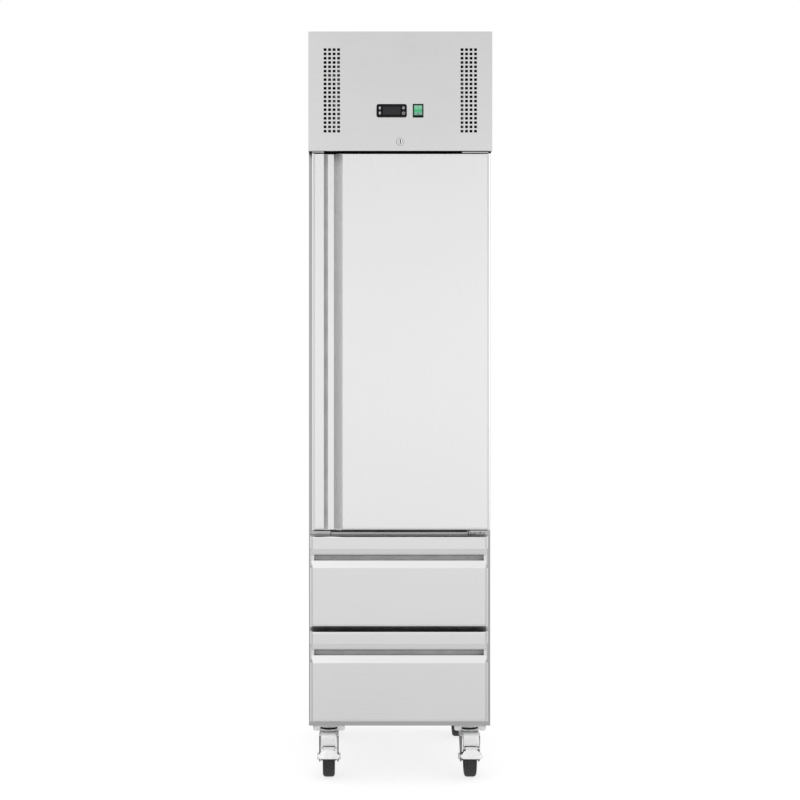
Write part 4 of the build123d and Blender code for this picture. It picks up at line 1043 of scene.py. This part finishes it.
def make_drawer_rims():
    """Rolled rim round the top edge of each drawer box."""
    for drawer in drawers:
        low, high = node_box(f"{drawer}_box")
        z = high[2] - 1
        left, right = low[0] + 0.6, high[0] - 0.6
        front, back = low[1] + 4, high[1] - 1.5
        corners = [(left, front, z), (left, back, z), (right, back, z), (right, front, z)]
        make_wires(f"{drawer}_rim", [rounded_path(corners, 5)], 1.9, drawer, "liner")


# Controls

controls_z = 1646
controller_x = -21.2
switch_x = 43.6
key_front = -349.6
mark_thick = 0.12


def make_mark(key, outlines):
    """Flat printed marks just in front of a key, from outlines in x and z."""
    shape = Shape()
    for outline in outlines:
        shape.prism(outline, "y", key_front - mark_thick, key_front + 0.2)
    make_piece(f"{key}_mark", shape, key, "ink", "key_plastic")


def ring_outline(x, z, outer, inner, start, end):
    """An open ring, as one outline."""
    return arc(x, z, outer, start, end, 16) + arc(x, z, inner, end, start, 16)


def bar(x, z, half_x, half_z, turn=0):
    """A bar turned about its middle, in degrees."""
    c = math.cos(math.radians(turn))
    s = math.sin(math.radians(turn))
    corners = [(-half_x, -half_z), (half_x, -half_z), (half_x, half_z), (-half_x, half_z)]
    return [(x + u * c - v * s, z + u * s + v * c) for u, v in corners]


def make_controls():
    """Window of the controller, marks on its keys and on the power switch."""
    window = Shape()
    outline = rounded(controller_x - 21.6, controller_x + 21.6, controls_z - 10.1, controls_z + 10.1, 1.6)
    window.prism(outline, "y", -348.5, -347.7)
    make_piece("controller_window", window, "cabinet", "smoked_lens", "black_plastic", bevel=0.25)
    left = controller_x - 29
    right = controller_x + 29
    high = controls_z + 6.4
    low = controls_z - 6.4
    arrow = [(-3.5, -0.6), (0, 3.8), (3.5, -0.6), (1.5, -0.6), (1.5, -3.8), (-1.5, -3.8), (-1.5, -0.6)]
    make_mark("upper_left_key", [[(left + u, high + v) for u, v in arrow]])
    make_mark("lower_left_key", [[(left + u, low - v) for u, v in arrow]])
    make_mark("upper_right_key", [bar(right, high, 3.7, 0.6, turn) for turn in (30, 90, 150)])
    power = [ring_outline(right, low - 0.4, 3.5, 2.5, 125, 415), bar(right, low + 2, 0.6, 2)]
    make_mark("lower_right_key", power)
    make_switch_marks()
    make_lock_face()


def make_lock_face():
    """Domed ring of the lock with a dark ring round it that paints its shade, and the groove and dark key
    slot of its plug.
    """
    lock_z = 1571
    for name, profile, body, material, slot, node in (
            ("ring", [(6.1, -349), (6.7, -349.7), (7.5, -350), (8.3, -349.5), (8.9, -348.4), (9, -346),
                      (8, -346), (8, -336), (6.1, -336)], "cabinet", "chrome", "lock_chrome", "lock_housing"),
            # A dark ring round the lock's ring, painted shade.
            ("washer", [(9, -346.9), (9.7, -346.7), (9.9, -346), (9, -346)],
             "cabinet", "dark_shade_rubber", "seal_rubber", None),
            ("groove", [(5.4, -349.45), (6, -349.45), (6, -349), (5.4, -349)],
             "lock_barrel", "black_plastic", "black_plastic", None)):
        shape = Shape()
        shape.lathe(profile, (0, 0, lock_z), "y", 48, ring=True)
        make_piece(f"lock_{name}", shape, body, material, slot, replaces=node)
    shape = Shape()
    shape.prism(rounded(-1.2, 1.2, lock_z - 4.3, lock_z + 4.3, 0.8), "y", -349.55, -348.8)
    make_piece("lock_key_slot", shape, "lock_barrel", "black_plastic", "black_plastic", bevel=0.1)


def make_switch_marks():
    """A bar on the rocker's pressed half and a ring on its raised one."""
    lean = math.tan(math.radians(14))
    face_y = -346.4
    shape = Shape()
    shape.prism(bar(switch_x, controls_z + 9.4, 0.5, 1.9), "y", face_y - 0.1, face_y + 0.3)
    outline = ring_outline(switch_x, controls_z - 7.2, 2.3, 1.6, 0, 359)
    n = len(outline)
    front = [(x, face_y + (z - controls_z) * lean - 0.1, z) for x, z in outline]
    back = [(x, y + 0.4, z) for x, y, z in front]
    shape.add(front + back, [tuple(range(n)), tuple(range(2 * n - 1, n - 1, -1))] + grid_faces(2, n))
    make_piece("switch_marks", shape, "rocker", "dark_ink", "green_switch")


# Rounded edges on sheet and plate nodes, which keep their own shape

def soften_nodes():
    for node, width in (("machine_cover", 0.5), ("switch_bezel", 0.8), ("controller_body", 0.7),
                        ("power_inlet", 0.6), ("hinge_plates", 0.6), ("drawer_slide_rails", 0.3)):
        thing = nodes[node]
        thing.modifiers.new("weld", "WELD").merge_threshold = 0.00001
        flat = thing.modifiers.new("flat", "DECIMATE")
        flat.decimate_type = "DISSOLVE"
        flat.angle_limit = math.radians(1)
        soften(thing, width, angle=40)


# Studio

# How bright the surroundings are to metal, by the angle in degrees above the horizon.
sky_levels = [(-90, 0.66), (-32, 0.70), (-13, 0.55), (-8, 0.79), (-3, 1), (3, 1), (9, 0.75), (14, 0.54),
              (28, 0.65), (45, 0.95)]
# Towards the sides and the back they dim to this share, between two parts of a unit direction.
beside_level = 0.76
side_fade = (0.45, 0.85)
back_fade = (0.2, 0.6)
white = (1, 1, 1)
floor_colour = (0.86, 0.86, 0.86)
floor_glow = 1.25
floor_glow_share = 0.62


def make_world():
    """White for the camera. What metal reflects is brightest in front at eye level, and dims from there."""
    world = bpy.data.worlds.new("studio")
    bpy.context.scene.world = world
    tree = Tree(world)
    x, y, z = tree.axes(tree.node("TexCoord").outputs["Generated"])
    stops = [((math.sin(math.radians(angle)) + 1) / 2, shade(white, level)) for angle, level in sky_levels]
    sky = tree.ramp(tree.range(z, 0, 1, -1, 1), stops)
    beside = tree.range(tree.math("ABSOLUTE", x), 1, beside_level, *side_fade)
    behind = tree.range(y, 1, beside_level, *back_fade)
    seen = tree.dimmed(sky, tree.math("MINIMUM", beside, behind))
    direct = tree.node("LightPath").outputs["Is Camera Ray"]
    back = tree.tree.nodes["Background"].inputs
    tree.feed(back["Color"], tree.mix(direct, seen, white))
    tree.feed(back["Strength"], 1)


def area_light(name, place, target, size, power):
    """A square soft box that points at a target."""
    data = bpy.data.lights.new(name, "AREA")
    data.shape = "RECTANGLE"
    data.size, data.size_y = size
    data.energy = power
    lamp = bpy.data.objects.new(name, data)
    lamp.location = place
    direction = Vector(target) - Vector(place)
    lamp.rotation_euler = direction.to_track_quat("-Z", "Y").to_euler()
    bpy.context.scene.collection.objects.link(lamp)


def make_floor():
    """Pale floor, white to the camera with the cabinet's shadow on it, and left out of reflections."""
    side = 30
    mesh = bpy.data.meshes.new("floor")
    corners = [(-side, -side, 0), (side, -side, 0), (side, side, 0), (-side, side, 0)]
    mesh.from_pydata(corners, [], [(0, 1, 2, 3)])
    floor = bpy.data.objects.new("floor", mesh)
    bpy.context.scene.collection.objects.link(floor)
    material = bpy.data.materials.new("floor")
    tree = Tree(material)
    tree.tree.nodes.remove(tree.tree.nodes["Principled BSDF"])
    path = tree.node("LightPath").outputs
    diffuse = tree.node("BsdfDiffuse", {"Color": (*floor_colour, 1)}).outputs["BSDF"]
    glow = tree.node("Emission", {"Strength": floor_glow}).outputs["Emission"]
    clear = tree.node("BsdfTransparent").outputs["BSDF"]
    share = tree.math("MULTIPLY", path["Is Camera Ray"], floor_glow_share)
    seen = tree.node("MixShader", {"Fac": share, 1: diffuse, 2: glow}).outputs["Shader"]
    reflected = path["Is Glossy Ray"]
    whole = tree.node("MixShader", {"Fac": reflected, 1: seen, 2: clear}).outputs["Shader"]
    tree.feed(tree.tree.nodes["Material Output"].inputs["Surface"], whole)
    mesh.materials.append(material)


def make_lights():
    area_light("key", (-1.6, -3.2, 2.9), (0, 0, 1), (1.8, 1.8), 7)
    area_light("fill", (2, -2.8, 1.6), (0, 0, 0.9), (1.6, 2.2), 8)
    area_light("top", (0, 0.6, 3.6), (0, 0, 0.5), (2.4, 2.4), 24)


bpy.context.scene.view_settings.view_transform = "Standard"
dress_nodes()
make_camera()
make_castors()
make_shelves()
make_pilasters()
for front in ("door", *drawers):
    make_seal(front)
make_trims()
make_grip_shade_sheets()
make_coil("condenser", fins=104, rows=7)
make_coil("evaporator", fins=60, rows=3)
make_cover_details()
make_small_screws()
make_drawer_rims()
make_controls()
soften_nodes()
make_world()
make_floor()
make_lights()
